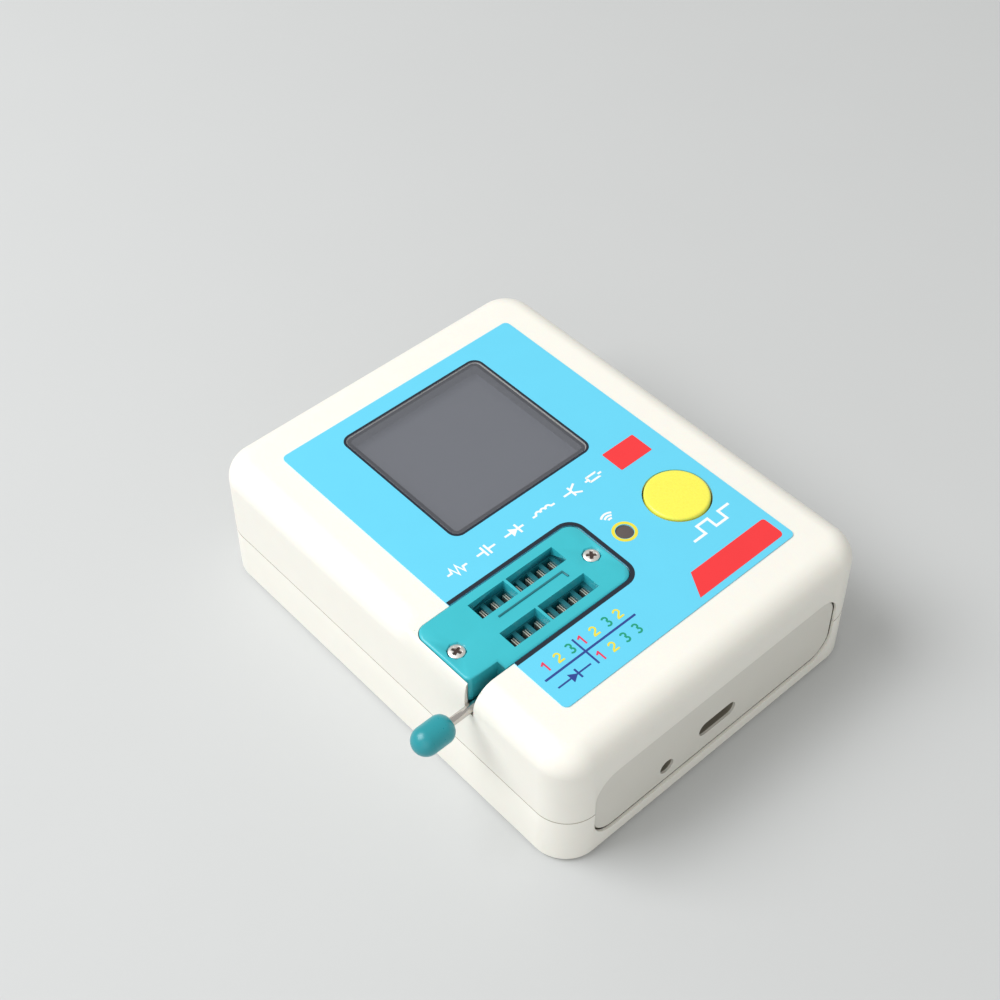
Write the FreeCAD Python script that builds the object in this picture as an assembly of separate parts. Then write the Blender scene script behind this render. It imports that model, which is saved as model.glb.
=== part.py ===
import FreeCAD
import Part
import math
import os

from FreeCAD import Vector

# Component tester: moulded two-part case, lever socket, start button and display.
# Origin at the middle of the underside, X to the right, Y to the display end, Z up, in millimetres.

# Case
case_width = 70.0
case_length = 90.0
case_height = 27.0
wall = 2.0
seam_height = 10.8
corner_radius = 6.5
shoulder_radius = 4.5
foot_chamfer = 0.7
seam_gap = 0.1
lip_height = 1.4
lip_thick = 0.9
lip_clearance = 0.1

# Shoulder beside the socket, tighter than elsewhere so that it covers the socket's end
cheek_radius = 2.0
cheek_blend = 6.0

# End panels
panel_width = 56.6
panel_height = 15.0
panel_corner = 4.5
panel_recess = 0.4
panel_edge = 0.3
panel_clearance = 0.15
flange_margin = 1.0
flange_thick = 1.0
panel_rib_thick = 1.0
panel_rib_spacing = 36.0
panel_rib_depth = 1.2
rib_board_gap = 0.8

# Steps of small round forms
peg_sides = 8
round_steps = 3

# Case screws and their bosses
boss_radius = 3.0
boss_inset_x = 5.6
boss_inset_y = 6.4
counterbore_depth = 4.2
case_screw_head_radius = 2.2
case_screw_head_height = 1.5
case_screw_radius = 1.15
case_screw_length = 11.0
head_clearance = 0.2
hole_clearance = 0.2
thread_clearance = 0.02
drive_slot_width = 0.45
drive_slot_depth = 0.7

# Main board and its screws
board_height = 10.3
board_thick = 1.6
board_end_gap = 0.6
board_side_gap = 3.0
board_boss_gap = 0.5
post_radius = 2.5
post_inset_x = 3.5
post_inset_y = 10.0
board_screw_head_radius = 1.9
board_screw_head_height = 1.3
board_screw_radius = 1.0
board_screw_length = 7.0

# Label film and display
label_side_margin = 8.6
label_end_margin = 9.1
label_center_y = 0.2
label_thick = 0.2
label_corner = 1.0
window_width = 32.0
window_corner = 2.0
window_x = -0.4
window_border = 0.6
bezel_thick = 0.6
bezel_clearance = 0.1
glass_thick = 1.4
glass_width = 34.0
glass_far_margin = 5.4
glass_near_margin = 6.4
display_end_gap = 5.0
display_socket_gap = 3.6
frame_thick = 2.4
frame_lip = 0.8
carrier_side = 0.65
carrier_margin = 0.15
carrier_thick = 1.2
header_length = 20.4
header_width = 2.5
header_inset = 3.0

# Start button and its switch
button_x = 18.1
button_y = -16.4
button_radius = 5.75
button_clearance = 0.3
button_proud = 0.5
button_edge = 0.5
button_flange = 0.9
button_flange_thick = 0.8
button_travel = 0.35
button_rest_gap = 0.05
stem_radius = 3.2
stem_socket_depth = 2.0
fit_clearance = 0.05
switch_size = 12.0
switch_height = 3.6
plate_thick = 0.3
plate_inset = 0.6
rivet_radius = 0.6
rivet_inset = 2.0
plunger_size = 3.8
plunger_height = 3.4
plunger_sink = 2.2
plunger_foot = 1.2
plunger_clearance = 0.2

# Infrared receiver
infrared_x = 5.7
infrared_y = -16.2
infrared_hole_radius = 1.6
infrared_body = 5.6
infrared_depth = 6.4
infrared_height = 4.6
infrared_dome = 2.4
infrared_poke = 0.3
infrared_pin = 0.5
infrared_pitch = 2.0

# Lever socket
socket_center_y = -16.2
socket_length = 34.6
socket_width = 15.2
socket_corner = 2.3
socket_end_wall = 0.75
socket_clearance = 0.15
socket_proud = 0.2
cover_height = 5.4
cover_plate = 2.0
cover_wall = 1.2
cover_edge = 0.3
notch_length = 6.0
notch_width = 1.9
notch_corner = 1.0
contact_pitch = 2.54
contacts_per_row = 7
row_spacing = 7.62
contacts_offset_x = 1.75
opening_margin = 0.35
opening_width = 3.7
divider_thick = 0.5
contacts_left_of_divider = 3
comb_rib = 0.8
comb_slot_width = 3.2
slider_gap = 0.05
slider_end_gap = 0.95
leaf_thick = 0.2
leaf_gap = 0.2
leaf_width = 2.2
leaf_side_gap = 0.12
leaf_below_cover = 0.5
contact_root_height = 3.0
contact_root_thick = 0.8
contact_clearance = 0.12
pin_size = 0.5
pin_length_below = 1.2
socket_screw_inset = 2.55
socket_screw_head_radius = 1.55
socket_screw_head_height = 1.1
socket_screw_radius = 0.9
socket_screw_length = 8.0
socket_screw_sink = 0.85
screw_boss_wall = 0.3

# Lever, cam and knob
lever_radius = 0.75
lever_bearing_clearance = 0.05
lever_bend_radius = 0.9
lever_side_gap = 0.25
lever_slot_clearance = 0.3
pivot_from_notch_end = 1.05
cam_radius = 1.55
cam_throw = 0.7
cam_width = 1.8
cam_clearance = 0.25
cam_side_gap = 0.1
fork_prong = 0.6
knob_start = 9.2
knob_length = 8.3
knob_radius = 2.8
knob_nose = 2.2
knob_grip_depth = 6.3

# Charging inlet and indicator light
usb_x = 0.0
usb_width = 7.5
usb_height = 2.7
usb_depth = 5.6
usb_sheet = 0.3
usb_gap = 0.1
usb_tongue_width = 4.6
usb_tongue_thick = 0.7
usb_tongue_length = 3.6
usb_slot_width = 8.6
usb_slot_height = 3.2
led_x = -11.7
led_drop = 3.4
led_hole_radius = 1.5
led_radius = 1.5
led_body_length = 3.4
led_flange_radius = 1.8
led_flange_thick = 0.9
led_lead = 0.5
led_lead_pitch = 1.8
led_gap = 0.1

# Battery and its leads
battery_width = 34.0
battery_length = 46.0
battery_thick = 6.0
battery_corner = 2.0
battery_x = 0.0
battery_y = 8.0
tape_thick = 0.6
tape_inset = 4.0
lead_radius = 0.6
lead_sides = 6
lead_pitch = 2.6
lead_run = 6.0
lead_bend_radius = 1.5
lead_drop = 2.2

# Parts on the underside and top of the board
chip_size = 7.0
chip_thick = 1.0
charge_chip_length = 5.0
charge_chip_width = 4.0
charge_chip_thick = 1.5
crystal_length = 11.0
crystal_width = 4.6
crystal_height = 3.4
resistor_length = 2.0
resistor_width = 1.25
resistor_thick = 0.5
resistor_count = 6
resistor_pitch = 2.6

# Places worked out from the sizes
half_width = case_width / 2
half_length = case_length / 2
floor_z = wall
ceiling_z = case_height - wall
inner_x = half_width - wall
inner_y = half_length - wall
panel_z = seam_height
panel_front = half_length - panel_recess
panel_back = inner_y - flange_thick
board_top = board_height + board_thick
board_half_width = inner_x - board_side_gap
board_half_length = panel_back - board_end_gap
boss_x = half_width - boss_inset_x
boss_y = half_length - boss_inset_y
post_x = board_half_width - post_inset_x
post_y = board_half_length - post_inset_y
film_z = case_height + label_thick
label_width = case_width - 2 * label_side_margin
label_length = case_length - 2 * label_end_margin
socket_left = -half_width + socket_end_wall + socket_clearance
socket_right = socket_left + socket_length
socket_near = socket_center_y - socket_width / 2
socket_far = socket_center_y + socket_width / 2
glass_near = socket_far + display_socket_gap
glass_far = inner_y - display_end_gap
window_length = glass_far - glass_far_margin - glass_near - glass_near_margin
window_y = glass_near + glass_near_margin + window_length / 2
socket_top = film_z + socket_proud
split_z = socket_top - cover_height
plate_z = socket_top - cover_plate
notch_right = socket_left + notch_length
notch_wall_y = socket_near + notch_width
contacts_x = socket_left + socket_length / 2 + contacts_offset_x
opening_half = contacts_per_row * contact_pitch / 2 + opening_margin
divider_x = contacts_x + (contacts_left_of_divider - contacts_per_row / 2) * contact_pitch
pivot_x = notch_right - pivot_from_notch_end
arm_y = notch_wall_y - lever_side_gap - lever_radius
cam_near = notch_wall_y + cover_wall + cam_clearance
cam_far = cam_near + cam_width
axle_end_y = socket_far - cover_wall - cam_clearance
usb_z = board_height - usb_height / 2
led_z = board_height - led_drop
usb_front = -panel_back + usb_gap


def box(x0, x1, y0, y1, z0, z1):
    """Block between two corners."""
    return Part.makeBox(x1 - x0, y1 - y0, z1 - z0, Vector(x0, y0, z0))


def bar(radius, start, end):
    """Round bar between two points."""
    run = end - start
    return Part.makeCylinder(radius, run.Length, start, run)


def peg(radius, start, end):
    """Peg with a few flats between two points, for round pieces that repeat or stay inside the case."""
    run = end - start
    side = Vector(0, 0, 1) if abs(run.y) > abs(run.z) else Vector(1, 0, 0)
    across = run.cross(side).normalize()
    turns = [2 * math.pi * step / peg_sides for step in range(peg_sides + 1)]
    corners = [start + side * (radius * math.cos(a)) + across * (radius * math.sin(a)) for a in turns]
    return Part.Face(Part.makePolygon(corners)).extrude(run)


def upright(radius, x, y, z0, z1):
    """Upright peg between two heights."""
    return peg(radius, Vector(x, y, z0), Vector(x, y, z1))


def quarter(radius):
    """Quarter round in even steps: how far out and how far along from its start."""
    turns = [math.pi / 2 * step / round_steps for step in range(round_steps + 1)]
    return [(radius * math.sin(a), radius * (1 - math.cos(a))) for a in turns]


def turned(profile, foot, axis, side):
    """Solid turned about an axis from a half profile of radius and height pairs."""
    points = [foot + side * radius + axis * height for radius, height in profile]
    return Part.Face(Part.makePolygon(points + points[:1])).revolve(foot, axis, 360)


def edges_along(solid, axis):
    """Straight edges of a block that run along one axis."""
    found = []
    for edge in solid.Edges:
        run = edge.Vertexes[-1].Point - edge.Vertexes[0].Point
        if run.Length > 0 and abs(run.dot(axis)) > 0.999 * run.Length:
            found.append(edge)
    return found


def edges_at_height(solid, z):
    """Edges that lie in one level plane."""
    return [e for e in solid.Edges if abs(e.BoundBox.ZMin - z) < 1e-6 and abs(e.BoundBox.ZMax - z) < 1e-6]


def edges_at_depth(solid, y):
    """Edges that lie in one upright plane across the length."""
    return [e for e in solid.Edges if abs(e.BoundBox.YMin - y) < 1e-6 and abs(e.BoundBox.YMax - y) < 1e-6]


def rounded_block(x0, x1, y0, y1, z0, z1, radius, axis):
    """Block whose edges along one axis are rounded."""
    block = box(x0, x1, y0, y1, z0, z1)
    return block.makeFillet(radius, edges_along(block, axis))


def four_corners(x, y):
    """The four places at plus and minus x and y."""
    return [(sx * x, sy * y) for sx in (-1, 1) for sy in (-1, 1)]


def case_outline(inset, z0, z1):
    """Upright block with the case's plan outline, drawn in by an inset."""
    x = half_width - inset
    y = half_length - inset
    return rounded_block(-x, x, -y, y, z0, z1, corner_radius - inset, Vector(0, 0, 1))


def cheek_section(y, radius):
    """Section across the left shoulder with the given rounding."""
    inside = -half_width + shoulder_radius + wall
    low = case_height - shoulder_radius - wall
    bend = radius * (1 - math.sqrt(0.5))
    points = [
        Vector(inside, y, low),
        Vector(inside, y, case_height),
        Vector(-half_width + radius, y, case_height),
        Vector(-half_width, y, case_height - radius),
        Vector(-half_width, y, low),
    ]
    middle = Vector(-half_width + bend, y, case_height - bend)
    edges = [
        Part.makeLine(points[0], points[1]),
        Part.makeLine(points[1], points[2]),
        Part.Arc(points[2], middle, points[3]).toShape(),
        Part.makeLine(points[3], points[4]),
        Part.makeLine(points[4], points[0]),
    ]
    return Part.Wire(edges)


def socket_cheek():
    """Tighter shoulder beside the socket that blends into the plain one at both ends."""
    near = socket_near - socket_clearance
    far = socket_far + socket_clearance
    sections = [
        cheek_section(near - cheek_blend, shoulder_radius),
        cheek_section(near, cheek_radius),
        cheek_section(far, cheek_radius),
        cheek_section(far + cheek_blend, shoulder_radius),
    ]
    return Part.makeLoft(sections, True, True)


def case_solid():
    """Full outer form of the closed case."""
    body = case_outline(0, 0, case_height)
    body = body.makeFillet(shoulder_radius, edges_at_height(body, case_height))
    body = body.makeChamfer(foot_chamfer, edges_at_height(body, 0))
    return body.fuse(socket_cheek())


def cavity():
    """Inner space of the closed case."""
    space = case_outline(wall, floor_z, ceiling_z)
    return space.makeChamfer(shoulder_radius - wall, edges_at_height(space, ceiling_z))


def panel_block(grow, y0, y1):
    """Rounded upright plate with the end panel's outline, grown by a margin."""
    x = panel_width / 2 + grow
    z = panel_height / 2 + grow
    return rounded_block(-x, x, y0, y1, panel_z - z, panel_z + z, panel_corner + grow, Vector(0, 1, 0))


def panel_openings():
    """Openings for the two end panels, through the front and rear walls."""
    front = panel_block(panel_clearance, -half_length - wall, -inner_y + panel_clearance)
    return front.fuse(front.mirror(Vector(0, 0, 0), Vector(0, 1, 0)))


def panel_ribs(z0, z1):
    """Ribs that stand behind the panels' flanges."""
    ribs = []
    near = panel_back - panel_clearance
    for side in (-1, 1):
        for end in (-1, 1):
            x = side * panel_rib_spacing / 2
            y0, y1 = sorted((end * near, end * (near - panel_rib_depth)))
            ribs.append(box(x - panel_rib_thick / 2, x + panel_rib_thick / 2, y0, y1, z0, z1))
    return ribs


def socket_opening():
    """Space in the upper half for the socket and the swing of its lever."""
    pocket = box(
        socket_left - socket_clearance, socket_right + socket_clearance,
        socket_near - socket_clearance, socket_far + socket_clearance,
        board_top - socket_clearance, case_height + wall,
    )
    slot = box(
        -half_width - wall, socket_left,
        arm_y - lever_radius - lever_slot_clearance, notch_wall_y,
        split_z - lever_radius - lever_slot_clearance, case_height + wall,
    )
    slot = slot.makeFillet(lever_slot_clearance, [
        e for e in edges_along(slot, Vector(1, 0, 0)) if e.BoundBox.ZMax < split_z
    ])
    return pocket.fuse(slot)


def window_block(inset, z0, z1):
    """Rounded upright block with the display window's outline, drawn in by an inset."""
    x = window_width / 2 - inset
    y = window_length / 2 - inset
    radius = max(window_corner - inset, fit_clearance)
    return rounded_block(
        window_x - x, window_x + x, window_y - y, window_y + y, z0, z1, radius, Vector(0, 0, 1)
    )


def button_bore(z0, z1):
    """Round hole that the start button runs in."""
    radius = button_radius + button_clearance
    return bar(radius, Vector(button_x, button_y, z0), Vector(button_x, button_y, z1))


def infrared_bore(z0, z1):
    """Small round hole over the infrared receiver."""
    return bar(infrared_hole_radius, Vector(infrared_x, infrared_y, z0), Vector(infrared_x, infrared_y, z1))


def top_shell():
    """Upper half of the case with its screw bosses and openings."""
    upper = case_solid().common(box(
        -case_width, case_width, -case_length, case_length, seam_height + seam_gap, case_height + wall
    ))
    rebate = case_outline(
        wall - lip_thick - lip_clearance, seam_height, seam_height + lip_height + lip_clearance
    )
    shell = upper.cut([cavity(), rebate])
    added = panel_ribs(board_top + rib_board_gap, ceiling_z + wall / 2)
    for x, y in four_corners(boss_x, boss_y):
        added.append(upright(boss_radius, x, y, seam_height, ceiling_z + wall / 2))
    shell = shell.fuse(added)
    pilot_top = counterbore_depth + case_screw_length + wall / 2
    pilot_radius = case_screw_radius + thread_clearance
    holes = [
        panel_openings(),
        socket_opening(),
        window_block(window_border, seam_height, case_height + wall),
        button_bore(ceiling_z - wall, case_height + wall),
        infrared_bore(ceiling_z - wall, case_height + wall),
    ]
    for x, y in four_corners(boss_x, boss_y):
        holes.append(upright(pilot_radius, x, y, 0, pilot_top))
    return shell.cut(holes)


def bottom_shell():
    """Lower half of the case with its lip, screw bosses and board posts."""
    lower = case_solid().common(box(
        -case_width, case_width, -case_length, case_length, -wall, seam_height
    ))
    lip = case_outline(wall - lip_thick, seam_height - wall, seam_height + lip_height)
    lip = lip.cut(box(
        -panel_width / 2 - flange_margin - panel_clearance, panel_width / 2 + flange_margin + panel_clearance,
        -case_length, case_length, seam_height, case_height,
    ))
    shell = lower.fuse(lip).cut(case_outline(wall, floor_z, case_height))
    added = panel_ribs(floor_z - wall / 2, board_height - rib_board_gap)
    for x, y in four_corners(boss_x, boss_y):
        added.append(upright(boss_radius, x, y, wall / 2, seam_height))
    for x, y in four_corners(post_x, post_y):
        added.append(upright(post_radius, x, y, floor_z - wall / 2, board_height))
    shell = shell.fuse(added)
    holes = [panel_openings(), socket_opening()]
    for x, y in four_corners(boss_x, boss_y):
        holes.append(upright(case_screw_head_radius + head_clearance, x, y, -wall, counterbore_depth))
        holes.append(upright(case_screw_radius + hole_clearance, x, y, 0, case_height))
    for x, y in four_corners(post_x, post_y):
        deep = board_top - board_screw_length - thread_clearance
        holes.append(upright(board_screw_radius + thread_clearance, x, y, deep, case_height))
    return shell.cut(holes)


def plain_end_panel():
    """End plate with a flange behind it, for the front wall."""
    plate = panel_block(0, -panel_front, -inner_y + panel_clearance)
    plate = plate.makeChamfer(panel_edge, edges_at_depth(plate, -panel_front))
    x = panel_width / 2 + flange_margin
    z = panel_height / 2 + flange_margin
    flange = box(-x, x, -inner_y + panel_clearance, -panel_back, panel_z - z, panel_z + z)
    return plate.fuse(flange).removeSplitter()


def usb_slot():
    """Round-ended slot for the plug, through the front panel."""
    x = usb_slot_width / 2
    z = usb_slot_height / 2
    return rounded_block(
        usb_x - x, usb_x + x, -case_length, -inner_y + wall, usb_z - z, usb_z + z,
        z - fit_clearance, Vector(0, 1, 0),
    )


def front_end_panel():
    """Front plate with the plug's slot and the hole for the light."""
    light = bar(led_hole_radius, Vector(led_x, -case_length, led_z), Vector(led_x, 0, led_z))
    return plain_end_panel().cut([usb_slot(), light])


def rear_end_panel():
    """Plain plate in the rear wall."""
    return plain_end_panel().mirror(Vector(0, 0, 0), Vector(0, 1, 0))


def face_label():
    """Printed film on the top, open over the display, button, infrared hole and socket."""
    x = label_width / 2
    y0 = label_center_y - label_length / 2
    y1 = label_center_y + label_length / 2
    film = rounded_block(-x, x, y0, y1, case_height, film_z, label_corner, Vector(0, 0, 1))
    around_socket = rounded_block(
        socket_left - socket_clearance, socket_right + socket_clearance,
        socket_near - socket_clearance, socket_far + socket_clearance,
        case_height - wall, film_z + wall, socket_corner, Vector(0, 0, 1),
    )
    return film.cut([
        window_block(0, case_height - wall, film_z + wall),
        around_socket,
        button_bore(case_height - wall, film_z + wall),
        infrared_bore(case_height - wall, film_z + wall),
    ])


def display_window():
    """Clear pane of the film over the display."""
    return window_block(0, case_height, film_z)


def display_bezel():
    """Dark frame that lines the display opening."""
    edge = window_border + bezel_clearance
    outer = window_block(edge, ceiling_z, case_height)
    return outer.cut(window_block(edge + bezel_thick, ceiling_z - wall, case_height + wall))


def display_glass():
    """Dark display panel, set against the inside of the case."""
    return box(
        window_x - glass_width / 2, window_x + glass_width / 2, glass_near, glass_far,
        ceiling_z - glass_thick, ceiling_z,
    )


def display_frame():
    """Frame and backlight around and behind the panel."""
    low = ceiling_z - glass_thick - frame_thick
    x = glass_width / 2 + fit_clearance
    near = glass_near - fit_clearance
    far = glass_far + fit_clearance
    outer = box(
        window_x - x - frame_lip, window_x + x + frame_lip, near - frame_lip, far + frame_lip,
        low, ceiling_z - fit_clearance,
    )
    return outer.cut(box(
        window_x - x, window_x + x, near, far, ceiling_z - glass_thick, ceiling_z
    ))


def carrier_span():
    """Front and rear edge and upper face of the display's carrier board."""
    top = ceiling_z - glass_thick - frame_thick
    margin = fit_clearance + frame_lip + carrier_margin
    return glass_near - margin, glass_far + margin, top


def display_board():
    """Carrier board under the display."""
    y0, y1, top = carrier_span()
    x = glass_width / 2 + fit_clearance + frame_lip + carrier_side
    return box(window_x - x, window_x + x, y0, y1, top - carrier_thick, top)


def display_header():
    """Pin strip that carries the display on the main board."""
    y0, y1, top = carrier_span()
    y = y1 - header_inset
    return box(
        window_x - header_length / 2, window_x + header_length / 2, y - header_width / 2, y + header_width / 2,
        board_top, top - carrier_thick,
    )


def main_board():
    """Circuit board with its corners cut clear of the case screws."""
    x = board_half_width
    y = board_half_length
    board = box(-x, x, -y, y, board_height, board_top)
    clear = boss_radius + board_boss_gap
    cuts = []
    for bx, by in four_corners(boss_x, boss_y):
        x0, x1 = sorted((bx - math.copysign(clear, bx), bx + math.copysign(case_width, bx)))
        y0, y1 = sorted((by - math.copysign(clear, by), by + math.copysign(case_length, by)))
        cuts.append(box(x0, x1, y0, y1, 0, case_height))
    for px, py in four_corners(post_x, post_y):
        cuts.append(upright(board_screw_radius + hole_clearance, px, py, 0, case_height))
    for cx, cy in contact_places():
        pin_x = sum(leaf_span(cx)) / 2
        reach = pin_size / 2 + contact_clearance
        cuts.append(box(pin_x - reach, pin_x + reach, cy - reach, cy + reach, 0, case_height))
    return board.cut(cuts)


def cross_recess(x, y, reach, z0, z1):
    """Cross-shaped drive recess of a screw head."""
    half = drive_slot_width / 2
    return box(x - reach, x + reach, y - half, y + half, z0, z1).fuse(
        box(x - half, x + half, y - reach, y + reach, z0, z1)
    )


def screw(x, y, seat, up, head_radius, head_height, radius, length):
    """Pan-head screw with its head on a seat; up is 1 or -1 for the way its head faces."""
    head_end = seat + up * head_height
    head = upright(head_radius, x, y, *sorted((seat, head_end)))
    head = head.makeChamfer(head_height / 3, edges_at_height(head, head_end))
    shank = upright(radius, x, y, *sorted((seat, seat - up * length)))
    z0, z1 = sorted((head_end - up * drive_slot_depth, head_end + up))
    return head.fuse(shank).removeSplitter().cut(cross_recess(x, y, head_radius / 2, z0, z1))


def case_screws():
    """Four screws from below that hold the halves together."""
    return [
        screw(x, y, counterbore_depth, -1, case_screw_head_radius, case_screw_head_height,
              case_screw_radius, case_screw_length)
        for x, y in four_corners(boss_x, boss_y)
    ]


def board_screws():
    """Four screws that hold the board on its posts."""
    return [
        screw(x, y, board_top, 1, board_screw_head_radius, board_screw_head_height,
              board_screw_radius, board_screw_length)
        for x, y in four_corners(post_x, post_y)
    ]


def button_top():
    """Height of the button's upper face at rest."""
    return film_z + button_proud


def plunger_top():
    """Height of the switch plunger's upper face at rest."""
    return board_top + switch_height + plate_thick + plunger_height


def button_cap():
    """Round cap with a stop flange and a stem that sits on the plunger."""
    flange_top = ceiling_z - button_rest_gap
    flange_radius = button_radius + button_flange
    profile = [
        (0, flange_top - button_flange_thick),
        (flange_radius, flange_top - button_flange_thick),
        (flange_radius, flange_top),
        (button_radius, flange_top),
    ]
    for out, along in reversed(quarter(button_edge)):
        profile.append((button_radius - button_edge + out, button_top() - along))
    profile.append((0, button_top()))
    cap = turned(profile, Vector(button_x, button_y, 0), Vector(0, 0, 1), Vector(1, 0, 0))
    stem_low = plunger_top() - stem_socket_depth
    stem = upright(stem_radius, button_x, button_y, stem_low, flange_top)
    half = plunger_size / 2 + fit_clearance
    socket = box(button_x - half, button_x + half, button_y - half, button_y + half,
                 stem_low - wall, plunger_top())
    return cap.fuse(stem).removeSplitter().cut(socket)


def switch_body():
    """Square housing of the push switch."""
    half = switch_size / 2
    body = box(button_x - half, button_x + half, button_y - half, button_y + half,
               board_top, board_top + switch_height)
    well = plunger_size / 2 + plunger_foot + plunger_clearance
    floor = board_top + switch_height - plunger_sink - button_travel - plunger_clearance
    return body.cut(box(button_x - well, button_x + well, button_y - well, button_y + well,
                        floor, board_top + switch_height + wall))


def switch_plate():
    """Steel cover of the switch, held by four rivets."""
    half = switch_size / 2 - plate_inset
    low = board_top + switch_height
    plate = box(button_x - half, button_x + half, button_y - half, button_y + half, low, low + plate_thick)
    hole = plunger_size / 2 + plunger_clearance
    plate = plate.cut(box(button_x - hole, button_x + hole, button_y - hole, button_y + hole,
                          low - wall, low + wall))
    rivets = []
    for dx, dy in four_corners(switch_size / 2 - rivet_inset, switch_size / 2 - rivet_inset):
        rivets.append(upright(rivet_radius, button_x + dx, button_y + dy, low, low + 2 * plate_thick))
    return plate.fuse(rivets).removeSplitter()


def switch_plunger():
    """Square plunger with a foot that the cover keeps in."""
    half = plunger_size / 2
    low = board_top + switch_height - plunger_sink
    foot = half + plunger_foot
    stem = box(button_x - half, button_x + half, button_y - half, button_y + half, low, plunger_top())
    pad = box(button_x - foot, button_x + foot, button_y - foot, button_y + foot,
              low, board_top + switch_height - plunger_clearance)
    return stem.fuse(pad).removeSplitter()


def infrared_receiver():
    """Receiver block with its dome under the hole, on three leads."""
    dome_top = ceiling_z + infrared_poke
    body_top = dome_top - infrared_dome
    body_low = body_top - infrared_height
    half = infrared_body / 2
    deep = infrared_depth / 2
    block = box(infrared_x - half, infrared_x + half, infrared_y - deep, infrared_y + deep, body_low, body_top)
    dome = upright(infrared_dome, infrared_x, infrared_y, body_top, dome_top)
    dome = dome.makeChamfer(infrared_dome / 2, edges_at_height(dome, dome_top))
    leads = []
    for step in (-1, 0, 1):
        x = infrared_x + step * infrared_pitch
        reach = infrared_pin / 2
        leads.append(box(x - reach, x + reach, infrared_y - reach, infrared_y + reach, board_top, body_low))
    return block.fuse([dome] + leads).removeSplitter()


def contact_places():
    """Middle of each socket opening, both rows."""
    places = []
    for row in (-1, 1):
        for step in range(contacts_per_row):
            x = contacts_x + (step - (contacts_per_row - 1) / 2) * contact_pitch
            places.append((x, socket_center_y + row * row_spacing / 2))
    return places


def leaf_span(x):
    """Left and right face of the pair of leaves beside an opening's middle."""
    right = x + (contact_pitch - comb_rib) / 2 - leaf_side_gap
    return right - 2 * leaf_thick - leaf_gap, right


def socket_outline(z0, z1):
    """Upright block with the socket's plan outline, square where the lever's notch comes."""
    block = box(socket_left, socket_right, socket_near, socket_far, z0, z1)
    corners = [
        e for e in edges_along(block, Vector(0, 0, 1))
        if e.BoundBox.XMax > socket_left + socket_corner or e.BoundBox.YMax > socket_near + socket_corner
    ]
    return block.makeFillet(socket_corner, corners)


def lever_notch(z0, z1):
    """Corner of the socket that is cut away for the lever."""
    return box(socket_left - wall, notch_right, socket_near - wall, notch_wall_y, z0, z1)


def axle_bore():
    """Split bearing of the axle, half in the base and half in the cover."""
    radius = lever_radius + lever_bearing_clearance
    end = axle_end_y + lever_bearing_clearance
    return bar(radius, Vector(pivot_x, socket_near - wall, split_z), Vector(pivot_x, end, split_z))


def socket_screw_places():
    """Left and right screw of the socket cover."""
    return [
        (socket_left + socket_screw_inset, socket_center_y),
        (socket_right - socket_screw_inset, socket_center_y),
    ]


def zif_cover():
    """Socket cover with its contact windows, lever notch and screw seats."""
    cover = socket_outline(split_z, socket_top).cut(lever_notch(split_z - wall, socket_top + wall))
    corner = [
        e for e in edges_along(cover, Vector(0, 0, 1))
        if abs(e.BoundBox.XMin - socket_left) < 1e-6 and abs(e.BoundBox.YMin - notch_wall_y) < 1e-6
    ]
    cover = cover.makeFillet(notch_corner, corner)
    cover = cover.makeChamfer(cover_edge, edges_at_height(cover, socket_top))
    wide = box(
        notch_right + cover_wall, socket_right - cover_wall, socket_near + cover_wall, socket_far - cover_wall,
        split_z - wall, plate_z,
    )
    narrow = box(
        socket_left + cover_wall, notch_right + cover_wall, notch_wall_y + cover_wall, socket_far - cover_wall,
        split_z - wall, plate_z,
    )
    posts = [
        upright(socket_screw_radius + hole_clearance + screw_boss_wall, x, y, split_z, plate_z)
        for x, y in socket_screw_places()
    ]
    cover = cover.cut([wide, narrow]).fuse(posts)
    cuts = [axle_bore()]
    for row in (-1, 1):
        y = socket_center_y + row * row_spacing / 2
        cuts.append(box(contacts_x - opening_half, divider_x - divider_thick / 2,
                        y - opening_width / 2, y + opening_width / 2, plate_z - wall, socket_top + wall))
        cuts.append(box(divider_x + divider_thick / 2, contacts_x + opening_half,
                        y - opening_width / 2, y + opening_width / 2, plate_z - wall, socket_top + wall))
    for x, y in socket_screw_places():
        seat = socket_top - socket_screw_sink
        cuts.append(upright(socket_screw_head_radius + hole_clearance, x, y, seat, seat + wall))
        cuts.append(upright(socket_screw_radius + hole_clearance, x, y, 0, case_height))
    return cover.cut(cuts).removeSplitter()


def zif_base():
    """Socket body that holds the contacts, the axle and the screws."""
    base = socket_outline(board_top, split_z)
    clear = lever_radius + lever_slot_clearance
    cuts = [lever_notch(split_z - clear, split_z + wall), axle_bore()]
    pit = cam_radius + cam_throw + cam_clearance
    cuts.append(bar(pit, Vector(pivot_x, cam_near - cam_side_gap, split_z),
                    Vector(pivot_x, cam_far + cam_side_gap, split_z)))
    root = board_top + contact_root_height
    half = (contact_pitch - comb_rib) / 2
    reach = pin_size / 2 + contact_clearance
    for x, y in contact_places():
        cuts.append(box(x - half, x + half, y - comb_slot_width / 2, y + comb_slot_width / 2,
                        root, split_z + wall))
        middle = sum(leaf_span(x)) / 2
        cuts.append(box(middle - reach, middle + reach, y - reach, y + reach, 0, case_height))
    for x, y in socket_screw_places():
        low = socket_top - socket_screw_sink - socket_screw_length - thread_clearance
        cuts.append(upright(socket_screw_radius + thread_clearance, x, y, low, case_height))
    return base.cut(cuts)


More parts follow.
